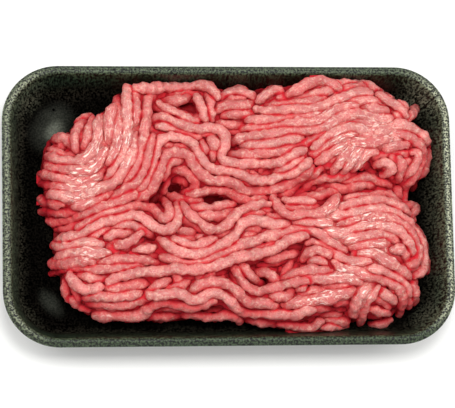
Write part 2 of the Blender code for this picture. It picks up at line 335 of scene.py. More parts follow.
def foamMaterial():
    # expanded polystyrene foam, black, thermoformed: a fine pebbled skin, with a painted highlight on the
    # rim's top, painted light on the upper walls and painted shade towards the floor
    material, tree, shader = newMaterial("black expanded polystyrene foam")
    where = addNode(tree, "TexCoord").outputs["Object"]
    # the grain is stretched down the walls
    drawn = addNode(tree, "VectorMath", {"operation": "MULTIPLY"}, {1: (1, 1, 0.3)}, {0: where})
    grain = addNode(tree, "TexNoise", None,
                    {"Scale": 1 / (foam["grain"] * mm), "Detail": 2, "Roughness": 0.6},
                    {"Vector": drawn.outputs["Vector"]})
    cloud = addNode(tree, "TexNoise", None, {"Scale": 1 / (13 * mm), "Detail": 3, "Roughness": 0.6},
                    {"Vector": where})
    place = addNode(tree, "SeparateXYZ", None, None, {"Vector": where})
    # painted shade: the colour ramp by height darkens the foam towards the floor
    wander = addNode(tree, "Math", {"operation": "MULTIPLY_ADD"}, {1: 7 * mm, 2: -3.5 * mm},
                     {0: cloud.outputs["Fac"]})
    height = addNode(tree, "Math", {"operation": "ADD"}, None,
                     {0: place.outputs["Z"], 1: wander.outputs["Value"]})
    share = addNode(tree, "MapRange", None, {"From Max": 30 * mm}, {"Value": height.outputs["Value"]})
    tone = addNode(tree, "ValToRGB", None, None, {"Fac": share.outputs["Result"]})
    stops = tone.color_ramp.elements
    while len(stops) < len(foam["tones"]):
        stops.new(0.5)
    for stop, (level, colour) in zip(stops, foam["tones"]):
        stop.position, stop.color = level / 30, linearColour(colour)
    # painted light: the rim's highlight and the lit upper walls mix in the pale colour
    paintedLight = addNode(tree, "Attribute", {"attribute_name": "paintedLight"})
    rim = addNode(tree, "Mix", {"data_type": "RGBA"}, {"B": linearColour(foam["pale"])},
                  {"Factor": paintedLight.outputs["Fac"], "A": tone.outputs["Color"]})
    speckle = addNode(tree, "MapRange", None,
                      {"From Min": 0.42, "From Max": 0.62, "To Min": 0.02, "To Max": 3.0},
                      {"Value": grain.outputs["Fac"]})
    skin = addNode(tree, "VectorMath", {"operation": "SCALE"}, None,
                   {0: rim.outputs[2], "Scale": speckle.outputs["Result"]})
    mottle = addNode(tree, "Math", {"operation": "MULTIPLY"}, None,
                     {0: cloud.outputs["Fac"], 1: grain.outputs["Fac"]})
    # painted glare: pale blotches where the corner fillets would catch the lamps
    withPaintedGlare = skin.outputs["Vector"]
    for paintedGlare in foam["paintedGlares"]:
        mask = patchMask(tree, where, paintedGlare)
        blotch = addNode(tree, "Math", {"operation": "MULTIPLY"}, None, {0: mask, 1: mottle.outputs["Value"]})
        withPaintedGlare = addNode(tree, "Mix", {"data_type": "RGBA"}, {"B": linearColour("#9CA292")},
                          {"Factor": blotch.outputs["Value"], "A": withPaintedGlare}).outputs[2]
    pit = pinholeMask(tree, where)
    crease = creaseMask(tree, where)
    marks = addNode(tree, "Math", {"operation": "MAXIMUM"}, None, {0: pit, 1: crease})
    marked = addNode(tree, "Mix", {"data_type": "RGBA"}, {"B": linearColour("#010101")},
                     {"Factor": marks.outputs["Value"], "A": withPaintedGlare})
    tree.links.new(marked.outputs[2], shader.inputs["Base Color"])
    sheen = addNode(tree, "MapRange", None,
                    {"From Min": 6 * mm, "From Max": 22 * mm, "To Min": 0, "To Max": 0.3},
                    {"Value": height.outputs["Value"]})
    tree.links.new(sheen.outputs["Result"], shader.inputs["Specular IOR Level"])
    shader.inputs["Roughness"].default_value = 0.42
    dips = addNode(tree, "Math", {"operation": "SUBTRACT"}, None,
                   {0: grain.outputs["Fac"], 1: marks.outputs["Value"]})
    bump = addNode(tree, "Bump", None, {"Strength": 0.8, "Distance": 0.35 * mm},
                   {"Height": dips.outputs["Value"]})
    tree.links.new(bump.outputs["Normal"], shader.inputs["Normal"])
    return material


def patchMask(tree, where, patch):  # a soft oval, seen from above
    shifted = addNode(tree, "VectorMath", {"operation": "SUBTRACT"},
                      {1: (patch["at"][0] * mm, patch["at"][1] * mm, 0)}, {0: where})
    turned = addNode(tree, "Mapping", None, {"Rotation": (0, 0, -math.radians(patch["turn"]))},
                     {"Vector": shifted.outputs["Vector"]})
    scaled = addNode(tree, "VectorMath", {"operation": "MULTIPLY"},
                     {1: (1 / patch["half"][0] / mm, 1 / patch["half"][1] / mm, 0)},
                     {0: turned.outputs["Vector"]})
    far = addNode(tree, "VectorMath", {"operation": "LENGTH"}, None, {0: scaled.outputs["Vector"]})
    return addNode(tree, "MapRange", {"interpolation_type": "SMOOTHSTEP"},
                   {"From Min": 1, "From Max": 0, "To Max": 4 * patch["pale"]},
                   {"Value": far.outputs["Value"]}).outputs["Result"]


def pinholeMask(tree, where):  # the sheet's needle holes, in slanting rows
    holes = foam["pinholes"]
    turned = addNode(tree, "Mapping", None,
                     {"Location": (holes["shift"][0] * mm, holes["shift"][1] * mm, 0),
                      "Rotation": (0, 0, math.radians(holes["turn"]))},
                     {"Vector": where})
    wrapped = addNode(tree, "VectorMath", {"operation": "WRAP"},
                      {1: (holes["across"] / 2 * mm, holes["along"] / 2 * mm, 1),
                       2: (-holes["across"] / 2 * mm, -holes["along"] / 2 * mm, -1)},
                      {0: turned.outputs["Vector"]})
    flat = addNode(tree, "VectorMath", {"operation": "MULTIPLY"}, {1: (1, 1, 0)},
                   {0: wrapped.outputs["Vector"]})
    far = addNode(tree, "VectorMath", {"operation": "LENGTH"}, None, {0: flat.outputs["Vector"]})
    radius = holes["radius"] * mm
    return addNode(tree, "MapRange", None, {"From Min": radius * 1.25, "From Max": radius * 0.75},
                   {"Value": far.outputs["Value"]}).outputs["Result"]


def creaseMask(tree, where):
    masks = []
    for start, end in foam["creases"]:
        start, end = Vector(start) * mm, Vector(end) * mm
        angle = math.atan2(end.y - start.y, end.x - start.x)
        middle = (start + end) / 2
        shifted = addNode(tree, "VectorMath", {"operation": "SUBTRACT"}, {1: (middle.x, middle.y, 0)},
                          {0: where})
        turned = addNode(tree, "Mapping", None, {"Rotation": (0, 0, -angle)},
                         {"Vector": shifted.outputs["Vector"]})
        part = addNode(tree, "SeparateXYZ", None, None, {"Vector": turned.outputs["Vector"]})
        across = addNode(tree, "Math", {"operation": "ABSOLUTE"}, None, {0: part.outputs["Y"]})
        along = addNode(tree, "Math", {"operation": "ABSOLUTE"}, None, {0: part.outputs["X"]})
        thin = addNode(tree, "MapRange", None, {"From Min": 0.5 * mm, "From Max": 0.15 * mm, "To Max": 0.8},
                       {"Value": across.outputs["Value"]})
        half = (end - start).length / 2
        within = addNode(tree, "MapRange", None, {"From Min": half, "From Max": half - 2 * mm},
                         {"Value": along.outputs["Value"]})
        masks.append(addNode(tree, "Math", {"operation": "MULTIPLY"}, None,
                             {0: thin.outputs["Result"], 1: within.outputs["Result"]}))
    return addNode(tree, "Math", {"operation": "MAXIMUM"}, None,
                   {0: masks[0].outputs["Value"], 1: masks[1].outputs["Value"]}).outputs["Value"]


foamTray = makeTray(foamMaterial())
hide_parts("tray")
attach(foamTray, "root")
print("foam tray:", len(foamTray.data.polygons), "faces")


# the heap: what lies under the strands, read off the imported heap

heap = {
    "cell": 1.0,  # mm, grid of the height map
    "blur": 3,
    "coreUnder": 6.8,  # mm of strands over the core
    "coreCell": 1.6,
    "edgeHeight": 14,  # mm, of the strands that make its outline: the edge lies where the camera sees it
    "webUnder": 3.3,  # mm from the strands' tops down to the crumbs that fill the grooves
    "webCell": 0.9,
    "pits": [  # open holes between the strands: middle, half length and width, turn
        {"at": (-27, 8.5), "half": (4.5, 3.5), "turn": 50},
        {"at": (-6, 2.5), "half": (8, 2.5), "turn": 8},
        {"at": (-18.5, -16.5), "half": (4, 2.2), "turn": 30},
        {"at": (71, 18), "half": (7, 3), "turn": -15},
        {"at": (88.4, -26), "half": (3.5, 2.5), "turn": -50},
        {"at": (81.6, -42), "half": (3.5, 2.5), "turn": -40},
        {"at": (15.5, -38), "half": (4, 2.5), "turn": 0},
        {"at": (-10, -51.5), "half": (5, 1.8), "turn": 0},
        {"at": (-19, 46.5), "half": (4, 2.5), "turn": -40},
        {"at": (-10.5, 31), "half": (3, 2.5), "turn": 0},
    ],
}
meatLow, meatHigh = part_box("mince")


def inPit(x, y):  # 1 in the middle of a pit, 0 at its edge
    most = -9
    for pit in heap["pits"]:
        turn = math.radians(pit["turn"])
        dx, dy = x - pit["at"][0], y - pit["at"][1]
        u = (dx * math.cos(turn) + dy * math.sin(turn)) / pit["half"][0]
        v = (dy * math.cos(turn) - dx * math.sin(turn)) / pit["half"][1]
        most = max(most, 1 - u * u - v * v)
    return most


class HeightMap:
    def __init__(self, heights, x0, y0, cell):
        self.heights, self.x0, self.y0, self.cell = heights, x0, y0, cell

    def at(self, x, y):
        rows, columns = self.heights.shape
        u = np.clip((np.asarray(x) - self.x0) / self.cell, 0, columns - 1.001)
        v = np.clip((np.asarray(y) - self.y0) / self.cell, 0, rows - 1.001)
        i, j = v.astype(int), u.astype(int)
        fu, fv = u - j, v - i
        h = self.heights
        return ((h[i, j] * (1 - fu) + h[i, j + 1] * fu) * (1 - fv)
                + (h[i + 1, j] * (1 - fu) + h[i + 1, j + 1] * fu) * fv)


def readHeap():
    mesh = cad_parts["mince"].data
    tree = BVHTree.FromPolygons([v.co / mm for v in mesh.vertices], [p.vertices[:] for p in mesh.polygons])
    cell, margin = heap["cell"], 12
    eyeX, eyeY, eyeZ = view["place"]
    share = (eyeZ - tray["height"]) / (eyeZ - heap["edgeHeight"])
    x0, y0 = meatLow.x / mm - margin, meatLow.y / mm - margin
    columns = int((meatHigh.x - meatLow.x) / mm / cell) + 2 * margin + 1
    rows = int((meatHigh.y - meatLow.y) / mm / cell) + 2 * margin + 1
    heights = np.full((rows, columns), tray["floor"], float)
    down = Vector((0, 0, -1))
    for i in range(rows):
        for j in range(columns):
            x, y = x0 + j * cell, y0 + i * cell
            hit = tree.ray_cast(Vector((eyeX + (x - eyeX) * share, eyeY + (y - eyeY) * share, 60)), down)[0]
            if hit is not None:
                heights[i, j] = hit.z
    for turn in range(heap["blur"]):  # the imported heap's coarse ropes are smoothed away
        wide = np.pad(heights, 1, mode="edge")
        heights = sum(wide[a:a + rows, b:b + columns] for a in range(3) for b in range(3)) / 9
    return HeightMap(heights, x0, y0, cell)


def sunkenHeap(top, depth):  # the height map worn down by a ball of that radius
    reach = int(depth / top.cell)
    rows, columns = top.heights.shape
    wide = np.pad(top.heights, reach, mode="constant", constant_values=tray["floor"])
    worn = top.heights.copy()
    for a in range(-reach, reach + 1):
        for b in range(-reach, reach + 1):
            flat = (a * a + b * b) * top.cell ** 2
            if flat <= depth ** 2:
                part = wide[reach + a:reach + a + rows, reach + b:reach + b + columns]
                worn = np.minimum(worn, part - math.sqrt(depth ** 2 - flat))
    return HeightMap(np.maximum(worn, tray["floor"]), top.x0, top.y0, top.cell)


heapTop = readHeap()
heapCore = sunkenHeap(heapTop, heap["coreUnder"])
print("heap read: top", round(float(heapTop.heights.max()), 1), "mm")


# strands of mince, as they lie: how many side by side, how high above the bed, and the route in mm

strand = {
    "radius": 2.75,
    "pitch": 4.6,  # between strands that lie side by side
    "bead": 2.3,  # between the beads that stand for a strand while it settles
    "squash": 0.82,  # strands press into each other
    "fragments": 160,  # short broken bits among them
    "wave": 1.2,
    "kink": 1.0,
    "sway": (1.3, 12),  # mm aside and over what length, the same for neighbours
    "breaks": {  # chance, every 20 mm
        "rearLeft": 0.4, "rearRight": 0.35, "frontRight": 0.3, "frontLeft": 0.1,
    },
    "shift": 0.9,  # mm that a broken piece moves aside
    "grooveReach": 1.2,  # mm from a neighbour within which a strand's side is painted crimson shade
}

folds = {
    "rearLeft": [
        (1, 0, [(-74.5, 42), (-71.5, 44.5), (-68.5, 43.5)]),
        (1, 0, [(-71.5, 42), (-75, 38.5), (-77, 35), (-76.5, 30), (-74, 27)]),
        (1, 0, [(-89, 32), (-86, 34), (-81, 33), (-77, 29.5)]),
        (1, 0, [(-90, 28), (-85, 26.5), (-80, 24.5), (-75, 25), (-71, 28), (-70, 33), (-69, 39), (-68, 44)]),
        (1, 1, [(-64, 45), (-64.5, 42), (-65, 36), (-65.5, 31), (-68, 26.5), (-73, 22.5), (-78, 21),
                (-84, 22.5), (-90, 24)]),
        (1, 1, [(-58.5, 49), (-59, 45), (-59.5, 38), (-60, 31), (-61.5, 25.5), (-65, 20.5), (-70, 17),
                (-76, 16), (-83, 17.5), (-91, 20)]),
        (1, 1, [(-54, 53.5), (-54, 48), (-54.5, 40), (-55, 32), (-57, 25), (-60, 19), (-65, 14.5), (-71, 12),
                (-78, 11.5), (-86, 13), (-93, 15.5)]),
        (1, 1, [(-49.5, 60.5), (-49.5, 52), (-50, 44), (-50, 36), (-51, 28), (-53.5, 21), (-57, 15),
                (-62, 10.5), (-68, 7.5), (-76, 6.5), (-84, 8), (-93.2, 10.5)]),
        (1, 1, [(-45, 59.5), (-45, 51), (-45.5, 43), (-46, 35), (-47, 27), (-49.5, 19), (-54, 12.5),
                (-60, 7.5), (-67, 3.8), (-75, 2), (-84, 3.5), (-93.2, 6)]),
        (1, 1, [(-35, 59), (-39, 54), (-41, 47), (-42, 39), (-42.5, 31), (-44, 23), (-47.5, 15.5),
                (-52.5, 9.5), (-59, 4.8), (-67, 1), (-75, -1.5), (-83, -1), (-93, 1.5)]),
        (1, 1, [(-38.5, 35), (-39.5, 27), (-41, 20), (-44.5, 12.5), (-49.5, 7), (-56, 2.8), (-64, -0.8),
                (-72, -4.5), (-80, -5), (-93, -3)]),
        (1, 1, [(-45, 6.5), (-52, 3), (-60, -0.5), (-68, -4), (-76, -6.5), (-84, -7.5), (-93, -7)]),
    ],
    "middle": [
        (1, 2, [(-45, 58), (-38, 59.5), (-31, 62.5), (-24, 63.3), (-17, 62.5), (-11, 61.5), (-7, 58),
                (-4.5, 54)]),
        (1, 0, [(-36, 56.5), (-30, 57.5), (-23, 57), (-17, 57), (-12, 58)]),
        (1, 0, [(-33, 53.5), (-27, 52.5), (-22, 53), (-18, 55)]),
        (1, 1, [(-15.5, 55), (-14, 50.5), (-12, 46), (-11.5, 41)]),
        (1, 1, [(-9.5, 56.5), (-7.5, 52), (-9, 47.5), (-11, 43.5)]),
        (1, 1, [(-35.5, 52), (-31, 49), (-26, 45.5), (-21, 42), (-15, 40.5)]),
        (1, 0, [(-37.5, 49), (-33, 47), (-28, 45.5)]),
        (1, 1, [(-40, 43), (-35, 44), (-29, 43), (-22, 40.5), (-14, 39), (-7, 38.5), (-2.5, 37), (-1, 33),
                (-2.5, 28.5), (-4.5, 25), (-3.5, 21.8), (1, 20.5), (8, 20), (15, 20), (21, 21.5), (27, 24.5),
                (33, 27), (39, 28)]),
        (1, 0, [(-38, 38), (-33, 39), (-27, 38.5), (-20, 36.5), (-13, 35.5)]),
        (1, 1, [(-50, 4), (-45, 7.5), (-41, 13), (-39, 20), (-38, 27), (-35, 32), (-30, 34), (-24, 33.8),
                (-19, 31.5), (-15.5, 27), (-13, 22), (-9.8, 17.8), (-4, 16.6), (2, 16.5), (6.5, 15),
                (9.5, 11.8), (14, 10), (20, 10.5), (26, 12.5), (31, 15.5), (36, 18.8), (41, 21.5)]),
        (1, 1, [(-52, -0.5), (-46, 3.5), (-40, 8.5), (-36.5, 14.5), (-35, 21), (-31.5, 26), (-26.5, 27.8),
                (-21.5, 26), (-18.5, 21.5), (-16, 17), (-12.5, 12.8), (-7, 11.8), (-1, 11.8), (3, 9.8),
                (6.5, 6.5), (12, 5), (18, 5.8), (25, 8.5), (31, 11.5), (37, 15.5), (43, 19)]),
        (1, 0, [(-32, 14), (-31, 19), (-28, 22.5), (-24, 22.3), (-21, 19.5)]),
        (1, 0, [(-29.5, 17.5), (-25, 18.5), (-20, 16.8), (-16.5, 13), (-16, 8.8), (-18.5, 6), (-23, 4.8)]),
        (1, 0, [(-28, 14.5), (-24, 14), (-20.8, 11), (-21, 7.5)]),
        (1, 0, [(-31, 15), (-32.2, 9.5), (-35.5, 4.5), (-38.5, 1)]),
        (1, 0, [(-9, 45.5), (-4.5, 48.5), (1, 49.5), (7, 50), (13, 52)]),
        (1, 0, [(-5.5, 44.5), (-1, 45.8), (4, 45.3), (9, 46.8), (15, 46.5)]),
        (1, 0, [(-7, 41.5), (-2, 40.5), (4, 39.5), (9, 40.5)]),
        (1, 0, [(-3.5, 55.5), (2, 57.3), (8, 56.3), (14, 53.8)]),
        (1, 0, [(-3, 52.5), (2, 53.5), (8, 53)]),
        (1, 1, [(15, 52.5), (18.5, 56.2), (22, 57.6), (26, 56.8), (27.2, 53.5), (25.5, 50.5), (20.5, 48.8)]),
        (1, 1, [(-9.5, 33.5), (-6, 31), (-4.5, 27.5)]),
        (1, 0, [(-10.5, 27), (-7, 25), (-6.2, 21.5)]),
        (1, 0, [(-14, 33), (-11.5, 29), (-10, 24.5)]),
        (1, 1, [(-22.5, 2), (-18, 4.7), (-13, 7), (-7.5, 8.4), (-2, 7.8), (2, 5.2), (6, 2.5), (12, 2),
                (18, 2.5)]),
        (1, 1, [(-29.5, 4), (-25, 2.2), (-20, 1.4), (-15.5, 3.2), (-13.5, 0.5)]),
    ],
    "rearRight": [
        (1, 2, [(29, 54.5), (33.5, 56.2), (37, 58.8), (41, 61.8), (47, 63.1), (52, 62.1), (57, 60.8)]),
        (1, 0, [(36, 54), (40.5, 57.3), (46, 58.3), (52, 57.8), (57, 58.5)]),
        (1, 1, [(26, 52), (32, 53.5), (38, 53), (44, 54), (50, 56.5), (55, 59.5), (59.5, 62.8), (65, 62.5),
                (71, 60.5), (76, 59)]),
        (1, 1, [(20, 50.5), (27, 49.8), (34, 50), (41, 49.3), (47, 51), (53, 54), (58, 57), (63, 59),
                (69, 58.5)]),
        (1, 1, [(14, 49), (20, 46.8), (27, 45.8), (33, 47), (39, 47.5), (45, 48.5), (51, 50.5), (57, 53.5),
                (63, 55.5), (69, 56), (74, 55.5)]),
        (1, 1, [(9.5, 42), (16, 42.3), (23, 43.2), (30, 44.8), (36, 45), (42, 45.3), (48, 46.5), (54, 49),
                (60, 51.8), (66, 53), (72, 52.5), (77, 49.5)]),
        (1, 1, [(8, 38.5), (16, 38.6), (23, 39.3), (29, 40.2), (35, 41), (41, 42), (47, 43), (53, 45.5),
                (59, 48.5), (66, 49.5), (73, 48.8), (80, 46.5)]),
        (1, 1, [(1, 30.5), (6, 33), (12, 34.5), (19, 35), (26, 35.5), (33, 37.2), (40, 37.8), (46, 38.5),
                (51, 41), (57, 45), (64, 46.5), (72, 45.5), (80, 42.5), (87, 42)]),
        (1, 1, [(6, 28), (12, 29.8), (19, 31), (26, 32), (33, 33.5), (37.5, 33.5)]),
        (1, 1, [(1, 24.3), (8, 24.5), (15, 25.5), (21, 27), (27, 29), (33, 29.8), (38, 31), (43, 33.5),
                (48, 36.5), (54, 40), (61, 42.5), (69, 42), (77, 40)]),
        (1, 1, [(39, 28.5), (45, 29.5), (50, 32.5), (55, 36.5), (62, 38.8), (70, 38), (78, 36.5),
                (86, 36.8)]),
        (1, 1, [(22, 16.5), (27.5, 18.5), (33, 20), (36.5, 22), (39.5, 23.5)]),
        (1, 1, [(40, 24.5), (45.5, 26), (50.5, 29), (55, 33), (62, 35), (70, 34)]),
        (1, 1, [(43, 20), (48, 23), (53, 27.5), (58, 31.5), (65, 31), (74, 31.5), (82, 32.5)]),
        (1, 0, [(21.5, 3.5), (27, 5.5), (32.5, 7.8), (38, 11), (42.5, 15), (46, 19)]),
        (1, 0, [(29, 3), (35, 5.8), (40.5, 9.3), (46, 12), (53, 12.3), (60, 12.3), (65, 12.8)]),
        (1, 1, [(50.8, 15.2), (55, 19.5), (59, 24), (62, 29), (66, 33)]),
        (1, 1, [(57, 15), (60.5, 19.5), (64, 24.5), (67, 29)]),
        (1, 1, [(62.5, 16.5), (65, 21.5), (68.5, 26), (74, 28)]),
        (1, 0, [(49, 22), (53, 25), (56.5, 28.5)]),
        (1, 1, [(75, 57.5), (79, 54), (83, 51), (87.5, 48), (90, 45)]),
        (1, 0, [(74, 52), (77, 48.5), (82, 45.5), (87, 44)]),
        (1, 0, [(82, 46.5), (85.5, 43.5), (88.5, 41)]),
        (1, 1, [(83, 42), (89, 39.8), (94, 37), (98.5, 33), (101.3, 28), (100.5, 21.5), (97.5, 16),
                (93.5, 12.5)]),
        (1, 1, [(82, 39), (88, 37.8), (93, 34.5), (96.5, 30), (97.8, 24.5), (96.5, 19), (93, 13.5), (91, 8)]),
        (1, 0, [(80, 35), (86, 35), (90.5, 32), (94, 28)]),
        (1, 1, [(91, 27.5), (94.8, 25.8), (95.2, 21.5), (92.8, 16), (90.3, 10.5)]),
        (1, 1, [(78, 29), (84, 30.3), (89.5, 30)]),
        (1, 0, [(71, 25.5), (77, 25.8), (84, 26.5), (90, 25.5)]),
        (1, 1, [(84.5, 23.5), (88, 20), (87.5, 15), (85.5, 10)]),
        (1, 1, [(73, 19.5), (77.5, 21), (81, 18.5), (80.5, 14), (76, 12)]),
        (1, -1, [(66, 19), (70, 15.5), (74, 10.5), (80, 9.5), (87, 9)]),
        (1, 0, [(76, 24), (81, 23), (84.5, 19)]),
        (1, 0, [(82.5, 8.5), (86, 5), (89.5, 3)]),
        (1, -1, [(88, 20), (94, 14), (92, 7)]),
        (1, -1, [(10, 15), (17, 16), (24, 17)]),
    ],
    "frontLeft": [
        (1, 0, [(-88, -13), (-80, -11), (-74, -8), (-68, -5.5)]),
        (1, 1, [(-75.5, -14), (-72, -10), (-67, -6.3), (-60, -3.3), (-52, -1), (-45, -0.3), (-39.5, -1.3),
                (-36, -4.8), (-33.5, -8), (-30, -8), (-29, -4.2), (-30.5, 0), (-34, 3.5)]),
        (1, 1, [(-85, -17.5), (-78, -15.5), (-72.5, -14.5), (-67.5, -10.3), (-60, -7), (-52, -5.2), (-45, -5),
                (-40.5, -8.3), (-36, -11.8), (-31, -12.3), (-27.3, -9), (-26, -4.5), (-27, 0.5)]),
        (1, 0, [(-67, -14), (-61.5, -11.5), (-55, -10), (-49, -10), (-43.5, -12.5), (-37, -15)]),
        (1, 0, [(-64.5, -17.5), (-59, -15), (-53, -14), (-48.5, -15)]),
        (1, 1, [(-56, -23.3), (-51.5, -19.5), (-47.5, -15.5), (-43.5, -12)]),
        (1, 0, [(-63, -19.5), (-57.5, -18.8), (-52, -22)]),
        (1, 1, [(-88, -20), (-82, -21), (-75.5, -20.5), (-69, -19), (-63.5, -21)]),
        (1, 1, [(-88.5, -25), (-81, -25.3), (-74, -24.8), (-67, -25), (-61, -24)]),
        (1, 1, [(-89, -30), (-82, -29), (-75, -28.8), (-68.5, -28.8)]),
        (1, 1, [(-91, -36.5), (-84, -33.8), (-76.5, -31.8), (-69, -31.5), (-61, -31.8), (-53, -31.8),
                (-45, -31.8)]),
        (1, 1, [(-66, -27.3), (-58.5, -27.8), (-50, -27.8), (-42.5, -27.5), (-35.5, -28.3)]),
        (1, 0, [(-60, -23.5), (-53, -24.5)]),
        (1, 1, [(-48.5, -23.8), (-43, -22.3), (-37, -21)]),
        (1, 2, [(-80, -35), (-77.5, -39), (-73.5, -42.2), (-69, -43), (-64.5, -40.8), (-60, -38), (-54, -36),
                (-46, -34.5), (-38, -33.2), (-30, -33), (-22, -33.6), (-14, -32.8), (-7, -30.5), (0, -28),
                (8, -26.3), (16, -24.3), (24, -21), (31, -17.8), (37, -15.5)]),
        (1, 0, [(-76, -35), (-70, -36.5), (-65, -38.3), (-60.5, -36)]),
        (1, 1, [(-82, -37.5), (-81, -42), (-80.5, -47.5), (-78, -51.5)]),
        (1, 1, [(-79, -46.5), (-76, -51.5), (-71, -54.5)]),
        (1, 1, [(-80.5, -39), (-78.5, -44), (-75.5, -49)]),
        (1, 0, [(-64.5, -42), (-57, -41), (-49, -40.5), (-42, -40.8)]),
        (1, 1, [(-73, -46.3), (-67, -45.8), (-59.5, -45), (-52, -44.8), (-46, -44.5)]),
        (1, 1, [(-73.5, -50), (-66, -49.6), (-58, -49.3), (-50, -49.3), (-44, -47.5), (-41, -43.5),
                (-37, -40), (-31, -38)]),
        (1, 0, [(-72.5, -53), (-66, -53.3), (-58, -53), (-51, -52.5), (-45, -51)]),
        (1, 1, [(-70, -54), (-64, -56), (-57, -56.2), (-50, -55.3), (-44, -53.5), (-38.5, -50),
                (-32.5, -48.5), (-26, -49.6), (-20, -51), (-14, -49.8), (-9.5, -47.5)]),
        (1, 2, [(-41, -46), (-36, -44.6), (-30, -44.2), (-25, -45.3), (-20.5, -48), (-16, -48),
                (-12.3, -45.6), (-8, -43.5), (-3.8, -44.8), (-0.5, -48), (3.5, -51.3), (9, -53.6),
                (16, -54.4), (24, -55), (33, -55.6), (41, -55)]),
        (1, 0, [(-43, -57), (-36, -56.2), (-29, -56.8), (-22, -56.5)]),
        (1, 0, [(-18, -55.2), (-11, -55.3), (-4, -54.9), (2, -56)]),
        (1, 1, [(-24, -56.2), (-17, -57.2), (-10, -57.2), (-2, -57), (5, -57.4)]),
        (1, 1, [(7, -57.3), (15, -57.9), (23, -59)]),
    ],
    "frontMiddle": [
        (1, 1, [(-34.5, -18.5), (-29.5, -21.8), (-24.5, -24.8), (-19, -25.8), (-13, -24), (-7, -21),
                (-1, -18.8), (3, -15.3), (5.3, -11), (9, -8.8), (15, -9.8), (22, -10.3), (30, -10)]),
        (1, 1, [(-28.5, -18), (-23.5, -20.3), (-18, -21.3), (-12.5, -19.8), (-7, -16.8)]),
        (1, 0, [(-16, -14), (-14.8, -18.5)]),
        (1, 1, [(-34, -26), (-27.5, -28.3), (-20, -29.3), (-12, -28.5), (-5.5, -26), (1, -23.3), (6, -20.3),
                (10.5, -17), (16, -15.8), (23, -15.6), (30, -14.3), (36, -13), (42, -13.6), (47.5, -16.5),
                (52.5, -20.3), (57.5, -24.8)]),
        (1, 2, [(-23, 0.5), (-21, -4), (-17.5, -8), (-13, -11.8), (-8, -12.8), (-3.3, -11.2), (0.8, -7.3),
                (4.3, -3.8), (9, -0.8), (15, 0.8), (21, 0.8)]),
        (1, 1, [(-20, -2), (-14, -1.8), (-8, -2.4), (-2, -2), (4, -0.5)]),
        (1, 1, [(-16.5, -5.3), (-11, -5.8), (-5, -5.3), (0, -3.2)]),
        (1, 0, [(-13, -8.3), (-8, -8.3), (-3.5, -7)]),
        (1, -1, [(-26, -11.5), (-20, -12.5), (-14, -15)]),
        (1, -1, [(-26, -15.5), (-20, -16)]),
        (1, 0, [(-10, -16.5), (-4, -14.5), (0, -11)]),
        (1, 0, [(6, -15.5), (10, -12.8), (16, -13)]),
        (1, 0, [(4, -22), (10, -21), (18, -20.3), (25, -18.5)]),
        (1, 0, [(10, -3.3), (15, -3), (20.5, -4)]),
        (1, 0, [(7, -6), (13, -6.8), (19, -6.8)]),
        (1, -1, [(-34, -37), (-26, -36.8), (-18, -36.6), (-10, -35.5), (-3, -33)]),
        (1, -1, [(-28, -40.5), (-22, -40), (-16, -38)]),
        (1, 1, [(-21.5, -44.5), (-17, -42), (-12, -39.8), (-7, -38.8), (-2.8, -39.8), (0.5, -43.3),
                (4, -47.6), (9, -50.2), (15, -51.2), (22, -51.6)]),
        (1, 2, [(0.5, -30.5), (2.5, -34.5), (5.5, -39), (9.5, -42.8), (14.5, -44), (20, -42), (26, -40),
                (32, -39), (38, -38.5)]),
        (1, 1, [(6, -30.5), (7.8, -34.5), (11.3, -37.5)]),
        (1, 1, [(12, -34), (17, -33.8), (21, -35.3), (23.5, -38)]),
        (1, -1, [(12, -29), (20, -28.8), (28, -27.5), (35, -27)]),
        (1, -1, [(25, -30), (27, -33.5)]),
        (1, -1, [(11, -39.5), (16, -39.5)]),
        (1, 0, [(10, -49), (16, -48.5), (20, -51)]),
    ],
    "valley": [
        (1, 0, [(30, 4), (37, 5.5), (44, 6.5), (51, 8), (58, 9.5)]),
        (1, 0, [(52, 10.5), (60, 11), (68, 11.5), (75, 9.5), (82, 8.5)]),
        (1, -1, [(40, 9), (48, 10), (56, 12), (64, 12)]),
        (1, -1, [(58, 7), (66, 8.5), (74, 7.5), (82, 6), (90, 4)]),
        (1, -1, [(70, 13), (78, 12), (86, 10), (92, 6)]),
        (1, -1, [(84, 12), (88, 8), (90, 2)]),
        (1, -1, [(34, 6.5), (42, 6), (50, 5.5), (58, 5)]),
        (1, -1, [(36, 1.5), (44, 1), (52, 3), (60, 5)]),
        (1, -1, [(56, 8.5), (64, 10), (72, 9.5), (80, 7)]),
        (1, -1, [(62, 6), (70, 6.5), (78, 4.5), (86, 2)]),
    ],
    "frontRight": [
        (1, 2, [(22, 3), (24, -0.8), (26.5, -4.3), (31, -5.8), (37, -5.8), (42, -5.8), (46, -5), (49, -1.8),
                (52, 1.5), (55, 4)]),
        (1, 1, [(27.5, -1.2), (33, -1.5), (39, -1.8), (44, -2)]),
        (1, 1, [(25.5, 2.6), (31, 2.3), (36, 1.3), (41, -0.8)]),
        (1, -1, [(40, 3), (46, 2.5), (50, 3)]),
        (1, 0, [(48, 8.5), (55, 7.5), (62, 7), (69, 8.3), (75, 6.5)]),
        (1, 1, [(55, 4), (61, 3.5), (67, 4), (73, 5), (79, 5), (85, 2)]),
        (1, 1, [(51, -2.5), (56, -1), (62, 0.2), (68, 0.8), (75, 1.5), (81, 1), (87, -1.5), (92, -3.5)]),
        (1, 0, [(89.5, -1), (93, 0.5), (94.3, -2.5), (92, -6)]),
        (1, 1, [(49, -7.5), (56, -6.5), (61.5, -4.5), (67, -2.8), (74, -2.5), (81, -4), (86.5, -7),
                (91, -11.3), (94.3, -17), (97, -23), (97.8, -29), (95, -34.8), (91, -37)]),
        (1, 1, [(30, -9.3), (37, -9.8), (44, -10), (51, -11.5), (57.5, -11.3), (62.5, -8.3), (69, -7),
                (76, -7.3), (82.5, -9.5), (87.5, -13), (91, -18), (93.5, -23.5), (94, -29.5), (91.5, -33)]),
        (1, 1, [(45, -14), (52, -15.5), (58.5, -14.5), (64, -12.5), (71, -11.5), (78, -11.5), (85, -13.3),
                (90.5, -17), (93, -22), (92.8, -27.5)]),
